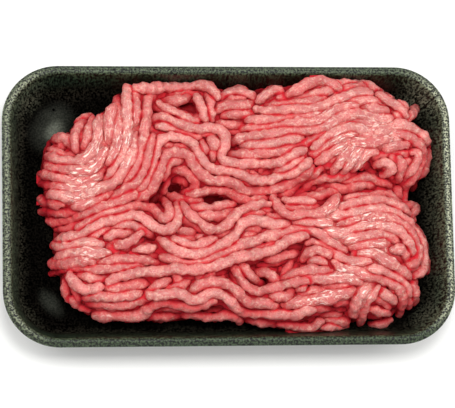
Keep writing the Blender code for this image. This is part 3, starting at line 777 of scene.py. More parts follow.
        (1, 1, [(53, -19.3), (60, -18), (67, -16.8), (74, -16), (81, -16.3), (87.5, -18)]),
        (1, 1, [(58, -22), (65, -20.8), (72, -20.3), (79, -20.3)]),
        (1, 1, [(79.5, -24.3), (83.5, -22), (88, -21.8), (91, -25), (90.5, -30)]),
        (1, 0, [(86, -31), (91, -33.5), (94, -35)]),
        (1, 1, [(37.5, -17.5), (43, -18.3), (48, -21.3), (53, -25), (58, -28.3), (64, -29.5), (70, -29)]),
        (1, 1, [(61, -25.5), (67, -24.5), (73, -25.3), (78, -28), (83, -31), (87, -35), (90, -40),
                (91, -46), (90, -51)]),
        (1, 1, [(65, -33), (71, -31.8), (77, -33), (82, -36.3), (86.5, -40.5), (88.8, -46), (88.5, -52)]),
        (1, 1, [(49, -29.3), (55, -32), (61, -34), (67, -36), (73.5, -36.5), (79.5, -38.3), (84, -41.5),
                (85.5, -47), (84.8, -53.5), (84, -57)]),
        (1, 1, [(35.5, -31), (36.5, -26.5), (40, -23), (45, -24), (50, -26.3)]),
        (1, 1, [(39.5, -29.5), (42.5, -26.8), (47, -28.8), (49, -33.5)]),
        (1, 1, [(24.5, -37), (29.5, -34.8), (36, -33.8), (43, -33.3), (50, -34)]),
        (1, 1, [(33, -38.8), (40, -37.6), (48, -37), (55, -36.3), (62, -37.5), (69, -38.3)]),
        (1, 0, [(41, -41.3), (49, -41), (56, -40.5), (63, -40.5)]),
        (1, 1, [(18.5, -47.8), (23.5, -46.8), (27.5, -44.8), (29.8, -42.6)]),
        (1, 1, [(32, -42.6), (37.3, -40.6)]),
        (1, 0, [(32, -46.3), (38.5, -44), (43, -44.8), (50, -44), (57, -42.5)]),
        (1, 1, [(26, -50.3), (34, -49), (42, -47.8), (49.5, -46.3), (57, -44.8), (63.5, -43)]),
        (1, 0, [(41, -51.5), (48, -50.3), (55, -48.8), (61, -47)]),
        (1, 0, [(34, -53.8), (42, -53), (50, -52.3), (58, -52.3)]),
        (2, 1, [(70.5, -40), (67.5, -44), (65, -48.5), (62.5, -53.5), (60.5, -57)]),
        (1, 2, [(22, -59), (30, -60), (38, -60.8), (45, -59.5)]),
        (1, 0, [(32, -57.5), (40, -57.3), (48, -56)]),
        (1, 0, [(45.5, -58.5), (51.5, -59), (57.5, -57.5)]),
        (1, 2, [(44.5, -63), (51.5, -66), (58.5, -63)]),
        (1, 1, [(71.5, -42.5), (76, -45), (80.5, -49), (82.5, -53)]),
        (1, 0, [(69.5, -46.5), (74.5, -48.3), (79, -51.5)]),
        (1, 1, [(66.5, -50.5), (71.5, -52.8), (76, -55.5), (79.5, -57)]),
        (1, 1, [(70, -62), (75, -60), (80.5, -59)]),
        (1, -1, [(79, -44), (83, -45)]),
        (1, -1, [(84, -26), (88, -29)]),
    ],
}


def sideBySide(route, count, pitch):
    line = smoothLine([np.array(p, float) for p in route], 8)
    ahead = np.gradient(line, axis=0)
    ahead /= np.linalg.norm(ahead, axis=1)[:, None] + 1e-9
    across = np.stack([-ahead[:, 1], ahead[:, 0]], axis=1)
    return [line + across * pitch * (k - (count - 1) / 2) for k in range(count)]


def addStrand(strands, fold, line, lift, radius, level):
    beads = evenSteps(line, strand["bead"])
    if len(beads) < 3:
        return
    phase = dice.uniform(0, 60)
    aside, length = strand["sway"]
    for i, bead in enumerate(beads):
        sway = noise.noise_vector(Vector((bead[0] / length, bead[1] / length, 5))) * aside
        for axis in range(2):
            bead[axis] += sway[axis]
            bead[axis] += strand["wave"] * noise.noise(Vector((phase, i * 0.23, 7 * axis)))
            bead[axis] += strand["kink"] * noise.noise(Vector((phase, i * 0.6, 7 * axis + 3)))
    height = heapTop.at(beads[:, 0], beads[:, 1]) - radius + lift
    height = np.maximum(height, tray["floor"] + radius)
    strands.append({
        "fold": fold, "beads": np.column_stack([beads, height]), "radius": radius, "level": level,
    })


def brokenLine(line, chance):  # a route in one or more pieces, each a little aside of the last
    steps = evenSteps(line, 2)
    pieces, start = [], 0
    for i in range(8, len(steps) - 7):
        if i - start > 6 and dice.random() < chance / 10:
            pieces.append(steps[start:i + 1])
            start = i + dice.randrange(0, 2)
    pieces.append(steps[start:])
    ways = [np.array([dice.gauss(0, 0.6), dice.gauss(0, 0.6)]) * strand["shift"] for piece in pieces]
    return [piece + (way if len(pieces) > 1 else 0) for piece, way in zip(pieces, ways)]


def layStrands():
    strands = []
    for fold, routes in folds.items():
        for count, level, route in routes:
            for line in sideBySide(route, count, strand["pitch"]):
                radius = strand["radius"] * dice.uniform(0.88, 1.08)
                for piece in brokenLine(line, strand["breaks"].get(fold, 0)):
                    lift = (-3.2, 0.2, 2.2, 4.6)[level + 1] + dice.uniform(-0.5, 0.5)
                    addStrand(strands, fold, piece, lift, radius * dice.uniform(0.94, 1.05), level)
    shown = len(strands)
    for fold, routes in folds.items():  # the bed under them runs the same way, half a strand aside
        for count, level, route in routes:
            if len(route) < 4:
                continue
            line = sideBySide(route, 1, 0)[0]
            side = sideBySide(route, 2, strand["pitch"] * 1.05)[dice.randrange(2)]
            cut = dice.randrange(0, max(1, len(side) // 5))
            addStrand(strands, "bed", side[cut:], -4.6, strand["radius"], -2)
    print("strands:", shown, "shown,", len(strands) - shown, "in the bed")
    return strands


def strewFragments(strands):  # broken bits that lie nearly along their neighbours
    routes = [s for s in strands if s["level"] >= -1]
    flow = KDTree(sum(len(s["beads"]) for s in routes))
    ways = []
    for s in routes:
        ahead = np.gradient(s["beads"][:, :2], axis=0)
        for bead, way in zip(s["beads"], ahead):
            flow.insert((bead[0], bead[1], 0), len(ways))
            ways.append((math.atan2(way[1], way[0]), s["fold"]))
    flow.balance()
    for i in range(strand["fragments"]):
        x, y = dice.uniform(-92, 100), dice.uniform(-60, 62)
        if heapCore.at(x, y) < 12 or inPit(x, y) > -1:
            continue
        angle, fold = ways[flow.find((x, y, 0))[1]]
        angle += dice.gauss(0, dice.choice((0.3, 0.9)))
        half, bend = dice.uniform(3.5, 11), dice.gauss(0, 0.25)
        route = [(x + math.cos(angle + bend * t) * half * t, y + math.sin(angle + bend * t) * half * t)
                 for t in (-1, -0.5, 0, 0.5, 1)]
        line = smoothLine([np.array(p, float) for p in route], 5)
        addStrand(strands, fold, line, dice.uniform(-3.4, 1.8), strand["radius"] * dice.uniform(0.75, 1.0), 0)


def skirtStrands(strands):  # rings of strands round the heap's side, broken at random
    for ring, height in enumerate((6.4, 10.6, 14.8, 19.0)):
        points = []
        for turn in range(180):
            angle = math.tau * turn / 180
            way = np.array([math.cos(angle), math.sin(angle)])
            reach = np.arange(20, 125, 0.5)
            inside = heapTop.at(reach * way[0], reach * way[1]) > height + 1.5
            far = reach[inside].max() if inside.any() else 20
            points.append(way * (far - strand["radius"] * 0.9))
        points = np.array(points + points[:3])
        for turn in range(2):
            points[1:-1] = (points[:-2] + points[1:-1] + points[2:]) / 3
        start = dice.randrange(0, 12)
        while start < len(points) - 4:
            length = dice.randrange(7, 22)
            piece = points[start:start + length]
            if len(piece) > 3:
                beads = evenSteps(smoothLine(list(piece), 3), strand["bead"])
                lift = np.array([
                    noise.noise(Vector((i * 0.15, ring, start))) * 1.6 for i in range(len(beads))
                ])
                strands.append({"fold": "bed", "beads": np.column_stack([beads, height + lift]),
                                "radius": strand["radius"], "level": -3})
            start += length + dice.randrange(0, 2)


settle = {
    "rounds": 240,
    "fall": 0.14,  # mm a round
    "home": 0.10,  # pull back to the route, seen from above
    "bend": 0.35,
    "over": 2.2,  # mm, how strongly one strand is kept above another
}


def settleStrands(strands):
    beads = np.concatenate([s["beads"] for s in strands])
    home = beads.copy()
    route = home[:, :2].copy()  # as the camera sees it at the rim's height: a low strand lies further out
    eye, eyeHeight = np.array(view["place"][:2], float), view["place"][2]
    radius = np.concatenate([np.full(len(s["beads"]), s["radius"]) for s in strands])
    owner = np.concatenate([np.full(len(s["beads"]), k) for k, s in enumerate(strands)])
    place = np.concatenate([np.arange(len(s["beads"])) for s in strands])
    weight = np.concatenate([np.full(len(s["beads"]), 0.35 if s["level"] < -1 else 1.0) for s in strands])
    rank = np.concatenate([np.full(len(s["beads"]), s["level"] + dice.uniform(0, 0.7)) for s in strands])
    spare = np.concatenate([np.full(len(s["beads"]), max(0.2, 1.4 + 1.7 * s["level"])) for s in strands])
    first = place == 0
    last = np.concatenate([np.arange(len(s["beads"])) == len(s["beads"]) - 1 for s in strands])
    middle = np.where(~first & ~last)[0]
    reachX, reachY = tray["length"] / 2 - tray["corner"], tray["width"] / 2 - tray["corner"]
    rounds = settle["rounds"]
    for turn in range(rounds):
        if turn % 8 == 0:  # which beads are near each other
            tree = KDTree(len(beads))
            for i, bead in enumerate(beads):
                tree.insert(bead, i)
            tree.balance()
            reach = 2 * strand["radius"] * 1.07 + 1.2
            near = [
                (i, j) for i, bead in enumerate(beads) for _, j, _ in tree.find_range(bead, reach) if j > i
            ]
            near = np.array(near)
            alongApart = abs(place[near[:, 0]] - place[near[:, 1]])
            apart = (owner[near[:, 0]] != owner[near[:, 1]]) | (alongApart > 3)
            near = near[apart]
        fall = settle["fall"] * (1 - 0.8 * turn / rounds)
        beads[:, 2] -= fall
        home[:, :2] = eye + (route - eye) * ((eyeHeight - beads[:, 2:]) / (eyeHeight - tray["height"]))
        beads[:, :2] += (home[:, :2] - beads[:, :2]) * settle["home"]
        moved = beads - home
        beads[middle] += settle["bend"] * ((moved[middle - 1] + moved[middle + 1]) / 2 - moved[middle])
        for again in range(2):
            i, j = near[:, 0], near[:, 1]
            gap = beads[j] - beads[i]
            far = np.linalg.norm(gap, axis=1)
            into = np.clip((radius[i] + radius[j]) * strand["squash"] - far, 0, 1.2)
            # the higher strand gives way upwards
            gap[:, 2] += settle["over"] * np.clip(rank[j] - rank[i], -1, 1)
            push = gap / (np.linalg.norm(gap, axis=1) + 1e-9)[:, None] * (into * 0.5)[:, None]
            share = weight[j] / (weight[i] + weight[j])
            for axis in range(3):
                beads[:, axis] -= np.bincount(i, push[:, axis] * 2 * share, len(beads)) * 0.55
                beads[:, axis] += np.bincount(j, push[:, axis] * 2 * (1 - share), len(beads)) * 0.55
        x, y = beads[:, 0], beads[:, 1]
        ground = heapCore.at(x, y)
        slopeX = (heapCore.at(x + 1, y) - heapCore.at(x - 1, y)) / 2
        slopeY = (heapCore.at(x, y + 1) - heapCore.at(x, y - 1)) / 2
        steep = np.sqrt(1 + slopeX ** 2 + slopeY ** 2)
        into = np.clip((ground - beads[:, 2]) / steep + radius * 0.9, 0, 1.5)
        beads[:, 0] -= into * slopeX / steep
        beads[:, 1] -= into * slopeY / steep
        beads[:, 2] += into / steep
        beads[:, 2] = np.maximum(beads[:, 2], tray["floor"] + 0.3 + radius * 0.95)
        x, y = beads[:, 0], beads[:, 1]
        slopeX = (heapTop.at(x + 1, y) - heapTop.at(x - 1, y)) / 2
        slopeY = (heapTop.at(x, y + 1) - heapTop.at(x, y - 1)) / 2
        steep = np.sqrt(1 + slopeX ** 2 + slopeY ** 2)
        over = np.clip((beads[:, 2] - heapTop.at(x, y)) / steep + radius - spare, 0, 0.6)
        beads[:, 0] += over * slopeX / steep
        beads[:, 1] += over * slopeY / steep
        beads[:, 2] -= over / steep
        footX, footY = np.clip(beads[:, 0], -reachX, reachX), np.clip(beads[:, 1], -reachY, reachY)
        awayX, awayY = beads[:, 0] - footX, beads[:, 1] - footY
        far = np.hypot(awayX, awayY) + 1e-9
        height = np.minimum(beads[:, 2], tray["height"] - tray["crest"])
        limit = tray["corner"] - np.array([roomInset(h) for h in height]) - radius * 0.95
        back = np.minimum(1, limit / far)
        beads[:, 0], beads[:, 1] = footX + awayX * back, footY + awayY * back
    start = 0
    for s in strands:
        s["beads"] = beads[start:start + len(s["beads"])]
        start += len(s["beads"])


def roomInset(height):  # how far the wall and its fillet reach in at a height
    centreIn, centreHigh = filletCentre(tray["innerFillet"], tray["floor"], 0)
    if height >= centreHigh - tray["innerFillet"] * math.sin(tray["lean"]):
        return wallInset(height)
    fall = min(centreHigh - height, tray["innerFillet"])
    return centreIn - math.sqrt(tray["innerFillet"] ** 2 - fall ** 2)


def cutBed(strands):  # a bed strand that would show outside the others is cut off there
    cell = 0.5
    eye, eyeHeight = np.array(view["place"][:2], float), view["place"][2]

    def seen(beads):
        return eye + (beads[:, :2] - eye) * ((eyeHeight - tray["height"]) / (eyeHeight - beads[:, 2:]))

    cover = np.zeros((320, 460), bool)
    rows, columns = np.mgrid[0:320, 0:460]
    for s in strands:
        if s["level"] >= -1:
            for x, y in seen(evenSteps(s["beads"], 1.2)):
                i, j, reach = (y + 80) / cell, (x + 115) / cell, s["radius"] / cell + 0.3
                a, b, size = int(i), int(j), int(reach) + 2
                part = (slice(max(0, a - size), a + size), slice(max(0, b - size), b + size))
                cover[part] |= (rows[part] - i) ** 2 + (columns[part] - j) ** 2 < reach ** 2
    kept = []
    for s in strands:
        if s["level"] >= -1:
            kept.append(s)
            continue
        where = seen(s["beads"])
        reach = s["radius"] / cell * 0.8
        inside = np.ones(len(where), bool)
        for angle in range(8):
            i = (where[:, 1] + 80) / cell + reach * math.sin(angle * math.tau / 8)
            j = (where[:, 0] + 115) / cell + reach * math.cos(angle * math.tau / 8)
            near = [
                cover[max(0, int(a) - 1):int(a) + 2, max(0, int(b) - 1):int(b) + 2].any()
                for a, b in zip(i, j)
            ]
            inside &= np.array(near)
        inside |= heapCore.at(s["beads"][:, 0], s["beads"][:, 1]) > 12
        if s["level"] == -2:
            inside &= np.array([inPit(x, y) < 0.2 for x, y in where])
        run = []
        for bead, good in [*zip(s["beads"], inside), (None, False)]:
            if good:
                run.append(bead)
                continue
            if len(run) > 3:
                kept.append({**s, "beads": np.array(run)})
            run = []
    return kept


strands = layStrands()
strewFragments(strands)
skirtStrands(strands)
settleStrands(strands)
strands = cutBed(strands)
print("strands settled,", len(strands), "kept")


# tubes round the strands

tube = {
    "step": 0.7,
    "sides": 18,
    "bedStep": 1.5,
    "bedSides": 10,
    "uneven": 0.2,  # of the radius, along a strand
    "dive": (0.5, 2.6),  # mm that a broken end sinks
    "weave": 1.6,  # mm, up and down among its neighbours
    "lump": 1.0,  # mm
    "lumpSize": 3.0,
    "granule": 0.5,  # mm, crumbs of meat that show in the skin
    "granuleSize": 2.6,
    "fine": 0.2,
    "fineSize": 1.5,
}

# flat spots: middle, reach across and along, turn, how deep in mm, how wet, how far grooves are filled
pressed = [
    {"at": (76, 37), "half": (14, 10), "turn": -18, "deep": 1.7, "wet": 0.35, "fill": 1},
    {"at": (61, 27), "half": (9, 12), "turn": 45, "deep": 1.0, "wet": 1, "fill": 0.6},
    {"at": (55, 46), "half": (28, 11), "turn": 12, "deep": 0.7, "wet": 0.25, "fill": 0.12},
    {"at": (-74, 9), "half": (10, 12), "turn": -30, "deep": 1.1, "wet": 1, "fill": 0.8},
    {"at": (-66, 25), "half": (8, 13), "turn": -35, "deep": 0.8, "wet": 0.9, "fill": 0.5},
    {"at": (-51, 32), "half": (7, 17), "turn": -12, "deep": 0.7, "wet": 0.7, "fill": 0.4},
    {"at": (-60, 42), "half": (16, 11), "turn": 45, "deep": 0.7, "wet": 0.2, "fill": 0.3},
    {"at": (66, -46), "half": (5, 10), "turn": -25, "deep": 0.9, "wet": 0.6, "fill": 0.7},
    {"at": (60, -35), "half": (13, 5), "turn": 12, "deep": 1.0, "wet": 1, "fill": 0.5},
    {"at": (44, -47), "half": (15, 5), "turn": 8, "deep": 0.8, "wet": 0.9, "fill": 0.4},
    {"at": (54, -15), "half": (14, 5), "turn": -32, "deep": 0.9, "wet": 1, "fill": 0.5},
    {"at": (50, -5), "half": (10, 5), "turn": 40, "deep": 0.9, "wet": 0.9, "fill": 0.5},
    {"at": (72, -8), "half": (13, 7), "turn": -5, "deep": 0.8, "wet": 0.6, "fill": 0.3},
    {"at": (75, -24), "half": (14, 9), "turn": -20, "deep": 0.7, "wet": 0.4, "fill": 0.2},
    {"at": (-69, -24), "half": (10, 7), "turn": 0, "deep": 0.8, "wet": 0.9, "fill": 0.4},
    {"at": (-62, -52), "half": (8, 4), "turn": 0, "deep": 0.4, "wet": 0.5, "fill": 0.2},
]


def pressAt(x, y):
    most, deep, wet, fill = 0, 0, 0, 0
    for patch in pressed:
        turn = math.radians(patch["turn"])
        dx, dy = x - patch["at"][0], y - patch["at"][1]
        u = (dx * math.cos(turn) + dy * math.sin(turn)) / patch["half"][0]
        v = (dy * math.cos(turn) - dx * math.sin(turn)) / patch["half"][1]
        part = max(0, 1 - (u * u + v * v) ** 1.5)
        wet, fill = max(wet, part * patch["wet"]), max(fill, part * patch["fill"])
        if part > most:
            most, deep = part, patch["deep"]
    return most, deep, wet, fill


def tubePoints(s, step):
    beads = s["beads"].copy()
    for turn in range(2):
        beads[1:-1] = beads[1:-1] * 0.5 + (beads[:-2] + beads[2:]) * 0.25
    line = evenSteps(smoothLine(list(beads), 4), step)
    phase = dice.uniform(0, 90)
    for i, point in enumerate(line):
        point[2] += tube["weave"] * noise.noise(Vector((phase, i * step / 11, 8)))
    sizes = []
    for i, point in enumerate(line):
        swell = 1 + tube["uneven"] * (noise.noise(Vector((phase, i * step / 6, 3)))
                                      + 0.35 * noise.noise(Vector((phase, i * step / 2.6, 5))))
        sizes.append(s["radius"] * swell * (1 + 0.2 * pressAt(point[0], point[1])[0]))
    reach = min(5.5, len(line) * step / 2.5)
    for order in (1, -1):  # broken ends thin out and sink among their neighbours
        dive, thin = dice.uniform(*tube["dive"]), dice.uniform(0.12, 0.4)
        for i in range(int(reach / step) + 1):
            k = i if order == 1 else -1 - i
            part = (1 - i * step / reach) ** 2
            line[k][2] -= dive * part
            sizes[k] *= 1 - thin * part
    points, radii = [], []
    ends = [math.radians(a) for a in (0, 35, 65)]
    headWay, tailWay = line[0] - line[1], line[-1] - line[-2]
    for a in ends:
        points.append(line[0] + headWay / np.linalg.norm(headWay) * sizes[0] * 0.8 * math.cos(a))
        radii.append(sizes[0] * math.sin(a))
    points.extend(line)
    radii.extend(sizes)
    for a in reversed(ends):
        points.append(line[-1] + tailWay / np.linalg.norm(tailWay) * sizes[-1] * 0.8 * math.cos(a))
        radii.append(sizes[-1] * math.sin(a))
    return points, radii


def tubeMesh(group, step, sides):
    curve = bpy.data.curves.new("strands", "CURVE")
    curve.dimensions = "3D"
    curve.bevel_depth = 1
    curve.bevel_resolution = (sides - 4) // 2
    counts, skin = [], []
    angles = np.arange(sides) * math.tau / sides
    for s in group:
        points, radii = tubePoints(s, step)
        spline = curve.splines.new("POLY")
        spline.points.add(len(points) - 1)
        for i, (point, radius) in enumerate(zip(points, radii)):
            spline.points[i].co = (*point, 1)
            spline.points[i].radius = radius
        counts.append(len(points) * sides)
        skin.append(np.column_stack([
            np.repeat(np.arange(len(points)) * step, sides),
            np.tile(np.cos(angles), len(points)),
            np.tile(np.sin(angles), len(points)),
        ]))
        s["centres"] = points[3:-3:2]
    guide = bpy.data.objects.new("strands", curve)
    bpy.context.scene.collection.objects.link(guide)
    mesh = bpy.data.meshes.new_from_object(guide.evaluated_get(bpy.context.evaluated_depsgraph_get()))
    bpy.data.objects.remove(guide, do_unlink=True)
    return mesh, np.repeat([s["number"] for s in group], counts), np.concatenate(skin)


def meshPoints(mesh, kind="co"):
    flat = np.empty(len(mesh.vertices) * 3, np.float32)
    if kind == "co":
        mesh.vertices.foreach_get("co", flat)
    else:
        mesh.vertex_normals.foreach_get("vector", flat)
    return flat.reshape(-1, 3).astype(float)


def readTop(place):  # how high the strands themselves reach, as an even cloth laid over them
    cell = 1.0
    x0, y0 = heapTop.x0, heapTop.y0
    rows, columns = heapTop.heights.shape
    high = np.full(rows * columns, tray["floor"], float)
    where = (np.clip(((place[:, 1] - y0) / cell).astype(int), 0, rows - 1) * columns
             + np.clip(((place[:, 0] - x0) / cell).astype(int), 0, columns - 1))
    np.maximum.at(high, where, place[:, 2])
    high = high.reshape(rows, columns)
    for turn in range(3):
        wide = np.pad(high, 1, mode="edge")
        high = np.max([wide[a:a + rows, b:b + columns] for a in range(3) for b in range(3)], axis=0)
    for turn in range(4):
        wide = np.pad(high, 1, mode="edge")
        high = sum(wide[a:a + rows, b:b + columns] for a in range(3) for b in range(3)) / 9
    return HeightMap(high, x0, y0, cell)


# what the material reads: skin is mm along the strand and the way round it
def markMesh(mesh, skin, **marks):
    layer = mesh.attributes.new("skin", "FLOAT_VECTOR", "POINT")
    layer.data.foreach_set("vector", np.asarray(skin, np.float32).ravel())
    for name, values in marks.items():
        layer = mesh.attributes.new(name, "FLOAT", "POINT")
        layer.data.foreach_set("value", np.asarray(values, np.float32))


def dressStrands(mesh, owner, skin, cloth, neighbours, numbers, sizes, tones):
    place, normal = meshPoints(mesh), meshPoints(mesh, "normal")
    x, y = place[:, 0], place[:, 1]
    top = cloth.at(x, y)
    slope = np.hypot(cloth.at(x + 1, y) - cloth.at(x - 1, y), cloth.at(x, y + 1) - cloth.at(x, y - 1)) / 2
    # how deep below the strands' top, which the material turns into painted shade
    depth = ((top - place[:, 2]) / np.sqrt(1 + slope ** 2)).astype(np.float32)
    count = len(place)
    smear, groove = np.zeros(count, np.float32), np.zeros(count, np.float32)
    for i in range(count):
        p = Vector(place[i])
        gap = 9
        for centre, k, far in neighbours.find_n(p, 7):
            if numbers[k] != owner[i]:
                gap = far - sizes[k]
                break
        part, deep, wet, fill = pressAt(p.x, p.y)
        # painted shade: a strand's side is marked crimson near a neighbour and on its steep flanks, less
        # where pressed flat
        close = max(0, min(1, 1 - gap / strand["grooveReach"]))
        groove[i] = max(close, 0.6 * min(1, max(0, 0.85 - normal[i][2]))) * (1 - 0.75 * min(1, 1.5 * fill))
        near = noise.voronoi(p / tube["granuleSize"])[0][0]
        crumb = tube["granule"] * (1 - 0.7 * part) * (0.4 - near)
        place[i] += normal[i] * (tube["lump"] * noise.noise(p / tube["lumpSize"]) + crumb
                                 + tube["fine"] * noise.noise(p / tube["fineSize"]))
        plane = top[i] - deep
        if part > 0 and place[i][2] > plane:
            place[i][2] = plane + (place[i][2] - plane) * (1 - 0.7 * min(1, part * 2.2))
        smear[i] = wet
    mesh.vertices.foreach_set("co", (place * mm).astype(np.float32).ravel())
    markMesh(mesh, smear=smear, depth=depth, groove=groove, tone=tones[owner], skin=skin)
    bm = bmesh.new()
    bm.from_mesh(mesh)
    bmesh.ops.remove_doubles(bm, verts=bm.verts, dist=0.01 * mm)  # closes the tips
    bm.to_mesh(mesh)
    bm.free()
    mesh.shade_smooth()


meat = {
    "lean": ("#C26460", "#D0837C"),  # from strand to strand
    "muscle": "#C03C46",  # darker flecks
    "fat": "#E8B9A8",
    "groove": "#C8202F",  # painted shade, blood-red, as where light comes only through the meat
    # painted shade, the darkest, deep in the pits and under the strands
    "pit": "#7A020F",
    "streak": "#F8E2D6",  # painted glints of wet shine along the strands, partly pale fatty smear
}


def meatMaterial():
    # raw minced meat: moist, light passes into it, with paler crumbs of fat all through
    material, tree, shader = newMaterial("raw minced meat")
    where = addNode(tree, "TexCoord").outputs["Object"]
    tone = addNode(tree, "Attribute", {"attribute_name": "tone"}).outputs["Fac"]
    depth = addNode(tree, "Attribute", {"attribute_name": "depth"}).outputs["Fac"]
    smear = addNode(tree, "Attribute", {"attribute_name": "smear"}).outputs["Fac"]
    groove = addNode(tree, "Attribute", {"attribute_name": "groove"}).outputs["Fac"]
    patchy = addNode(tree, "TexNoise", None, {"Scale": 1 / (9 * mm), "Detail": 2}, {"Vector": where})
    crumbs = addNode(tree, "TexNoise", None, {"Scale": 1 / (2.4 * mm), "Detail": 3, "Roughness": 0.6},
                     {"Vector": where})
    specks = addNode(tree, "TexNoise", None, {"Scale": 1 / (0.9 * mm), "Detail": 2, "Roughness": 0.6},
                     {"Vector": where})
    lean = addNode(tree, "Mix", {"data_type": "RGBA"},
                   {"A": linearColour(meat["lean"][0]), "B": linearColour(meat["lean"][1])}, {"Factor": tone})
    patchTone = addNode(tree, "MapRange", None,
                        {"From Min": 0.35, "From Max": 0.65, "To Min": 0.84, "To Max": 1.1},
                        {"Value": patchy.outputs["Fac"]})
    lean = addNode(tree, "VectorMath", {"operation": "SCALE"}, None,
                   {0: lean.outputs[2], "Scale": patchTone.outputs["Result"]})
    muscle = addNode(tree, "MapRange", None, {"From Min": 0.5, "From Max": 0.32, "To Min": 0, "To Max": 0.55},
                     {"Value": specks.outputs["Fac"]})
    lean = addNode(tree, "Mix", {"data_type": "RGBA"}, {"B": linearColour(meat["muscle"])},
                   {"Factor": muscle.outputs["Result"], "A": lean.outputs["Vector"]})
    crumbTone = addNode(tree, "Math", {"operation": "MULTIPLY_ADD"}, {1: 0.4},
                        {0: specks.outputs["Fac"], 2: crumbs.outputs["Fac"]})
    fatMask = addNode(tree, "MapRange", None, {"From Min": 0.7, "From Max": 0.88, "To Min": 0, "To Max": 0.5},
                      {"Value": crumbTone.outputs["Value"]})
    fat = addNode(tree, "Mix", {"data_type": "RGBA"}, {"B": linearColour(meat["fat"])},
                  {"Factor": fatMask.outputs["Result"], "A": lean.outputs[2]})
    # painted shade: deeper under the strands' top and in the grooves, the colour turns blood-red, and dark
    # maroon deepest down
    sunk = addNode(tree, "MapRange", None, {"From Min": 1.8, "From Max": 6, "To Min": 0, "To Max": 0.95},
                   {"Value": depth})
    grooveMask = addNode(tree, "Math", {"operation": "MULTIPLY"}, {1: 0.95}, {0: groove})
    deepMask = addNode(tree, "Math", {"operation": "MAXIMUM"}, None,
                       {0: sunk.outputs["Result"], 1: grooveMask.outputs["Value"]})
    bottom = addNode(tree, "MapRange", None, {"From Min": 4.5, "From Max": 9, "To Min": 0, "To Max": 1},
                     {"Value": depth})
    paintedShade = addNode(tree, "Mix", {"data_type": "RGBA"},
                    {"A": linearColour(meat["groove"]), "B": linearColour(meat["pit"])},
                    {"Factor": bottom.outputs["Result"]})
    deep = addNode(tree, "Mix", {"data_type": "RGBA"}, None,
                   {"Factor": deepMask.outputs["Value"], "A": fat.outputs[2], "B": paintedShade.outputs[2]})
    skin = addNode(tree, "Attribute", {"attribute_name": "skin"}).outputs["Vector"]
    seed = addNode(tree, "Math", {"operation": "MULTIPLY"}, {1: 97}, {0: tone})
    strandPlace = addNode(tree, "VectorMath", {"operation": "MULTIPLY_ADD"}, {1: (1 / 3.2, 3, 3)},  # mm along
                          {0: skin, 2: seed.outputs["Value"]})
    streak = addNode(tree, "TexNoise", None, {"Scale": 1, "Detail": 2, "Roughness": 0.6},
                     {"Vector": strandPlace.outputs["Vector"]})
    streakMask = addNode(tree, "MapRange", None,
                         {"From Min": 0.55, "From Max": 0.66, "To Min": 0, "To Max": 1},
                         {"Value": streak.outputs["Fac"]})
    smeared = addNode(tree, "MapRange", None, {"From Min": 0, "From Max": 0.6, "To Min": 0.1, "To Max": 0.95},
                      {"Value": smear})
    clear = addNode(tree, "MapRange", None, {"From Min": 0.1, "From Max": 0.5, "To Min": 1, "To Max": 0},
                    {"Value": deepMask.outputs["Value"]})
    smearMask = addNode(tree, "Math", {"operation": "MULTIPLY"}, None,
                        {0: streakMask.outputs["Result"], 1: smeared.outputs["Result"]})
    smearMask = addNode(tree, "Math", {"operation": "MULTIPLY"}, None,
                        {0: smearMask.outputs["Value"], 1: clear.outputs["Result"]})
    # painted glints: pale streaks along the strands, most in the wet patches, kept out of the grooves
    colour = addNode(tree, "Mix", {"data_type": "RGBA"}, {"B": linearColour(meat["streak"])},
                     {"Factor": smearMask.outputs["Value"], "A": deep.outputs[2]})
    tree.links.new(colour.outputs[2], shader.inputs["Base Color"])
    wet = addNode(tree, "MapRange", None, {"From Min": 0.35, "From Max": 0.65, "To Min": 0.3, "To Max": 0.5},
                  {"Value": patchy.outputs["Fac"]})
    glossy = addNode(tree, "Math", {"operation": "MULTIPLY_ADD"}, {1: -0.15},
                     {0: smearMask.outputs["Value"], 2: wet.outputs["Result"]})
    tree.links.new(glossy.outputs["Value"], shader.inputs["Roughness"])
    shine = addNode(tree, "MapRange", None,
                    {"From Min": 0.02, "From Max": 0.4, "To Min": 0.5, "To Max": 0.02},
                    {"Value": deepMask.outputs["Value"]})
    tree.links.new(shine.outputs["Result"], shader.inputs["Specular IOR Level"])
    rough = addNode(tree, "MapRange", None, {"From Min": 0, "From Max": 0.5, "To Min": 0.2, "To Max": 1.2},
                    {"Value": smear})
    creased = addNode(tree, "Math", {"operation": "MULTIPLY"}, None,
                      {0: streak.outputs["Fac"], 1: rough.outputs["Result"]})
    relief = addNode(tree, "Math", {"operation": "MULTIPLY_ADD"}, {1: 0.6},
                     {0: specks.outputs["Fac"], 2: creased.outputs["Value"]})
    bump = addNode(tree, "Bump", None, {"Strength": 0.7, "Distance": 0.6 * mm},
                   {"Height": relief.outputs["Value"]})
    tree.links.new(bump.outputs["Normal"], shader.inputs["Normal"])
    shader.inputs["IOR"].default_value = 1.4
    shader.inputs["Subsurface Weight"].default_value = 0.4
    shader.inputs["Subsurface Radius"].default_value = (1.0, 0.3, 0.22)
    shader.inputs["Subsurface Scale"].default_value = 0.9 * mm
    return material


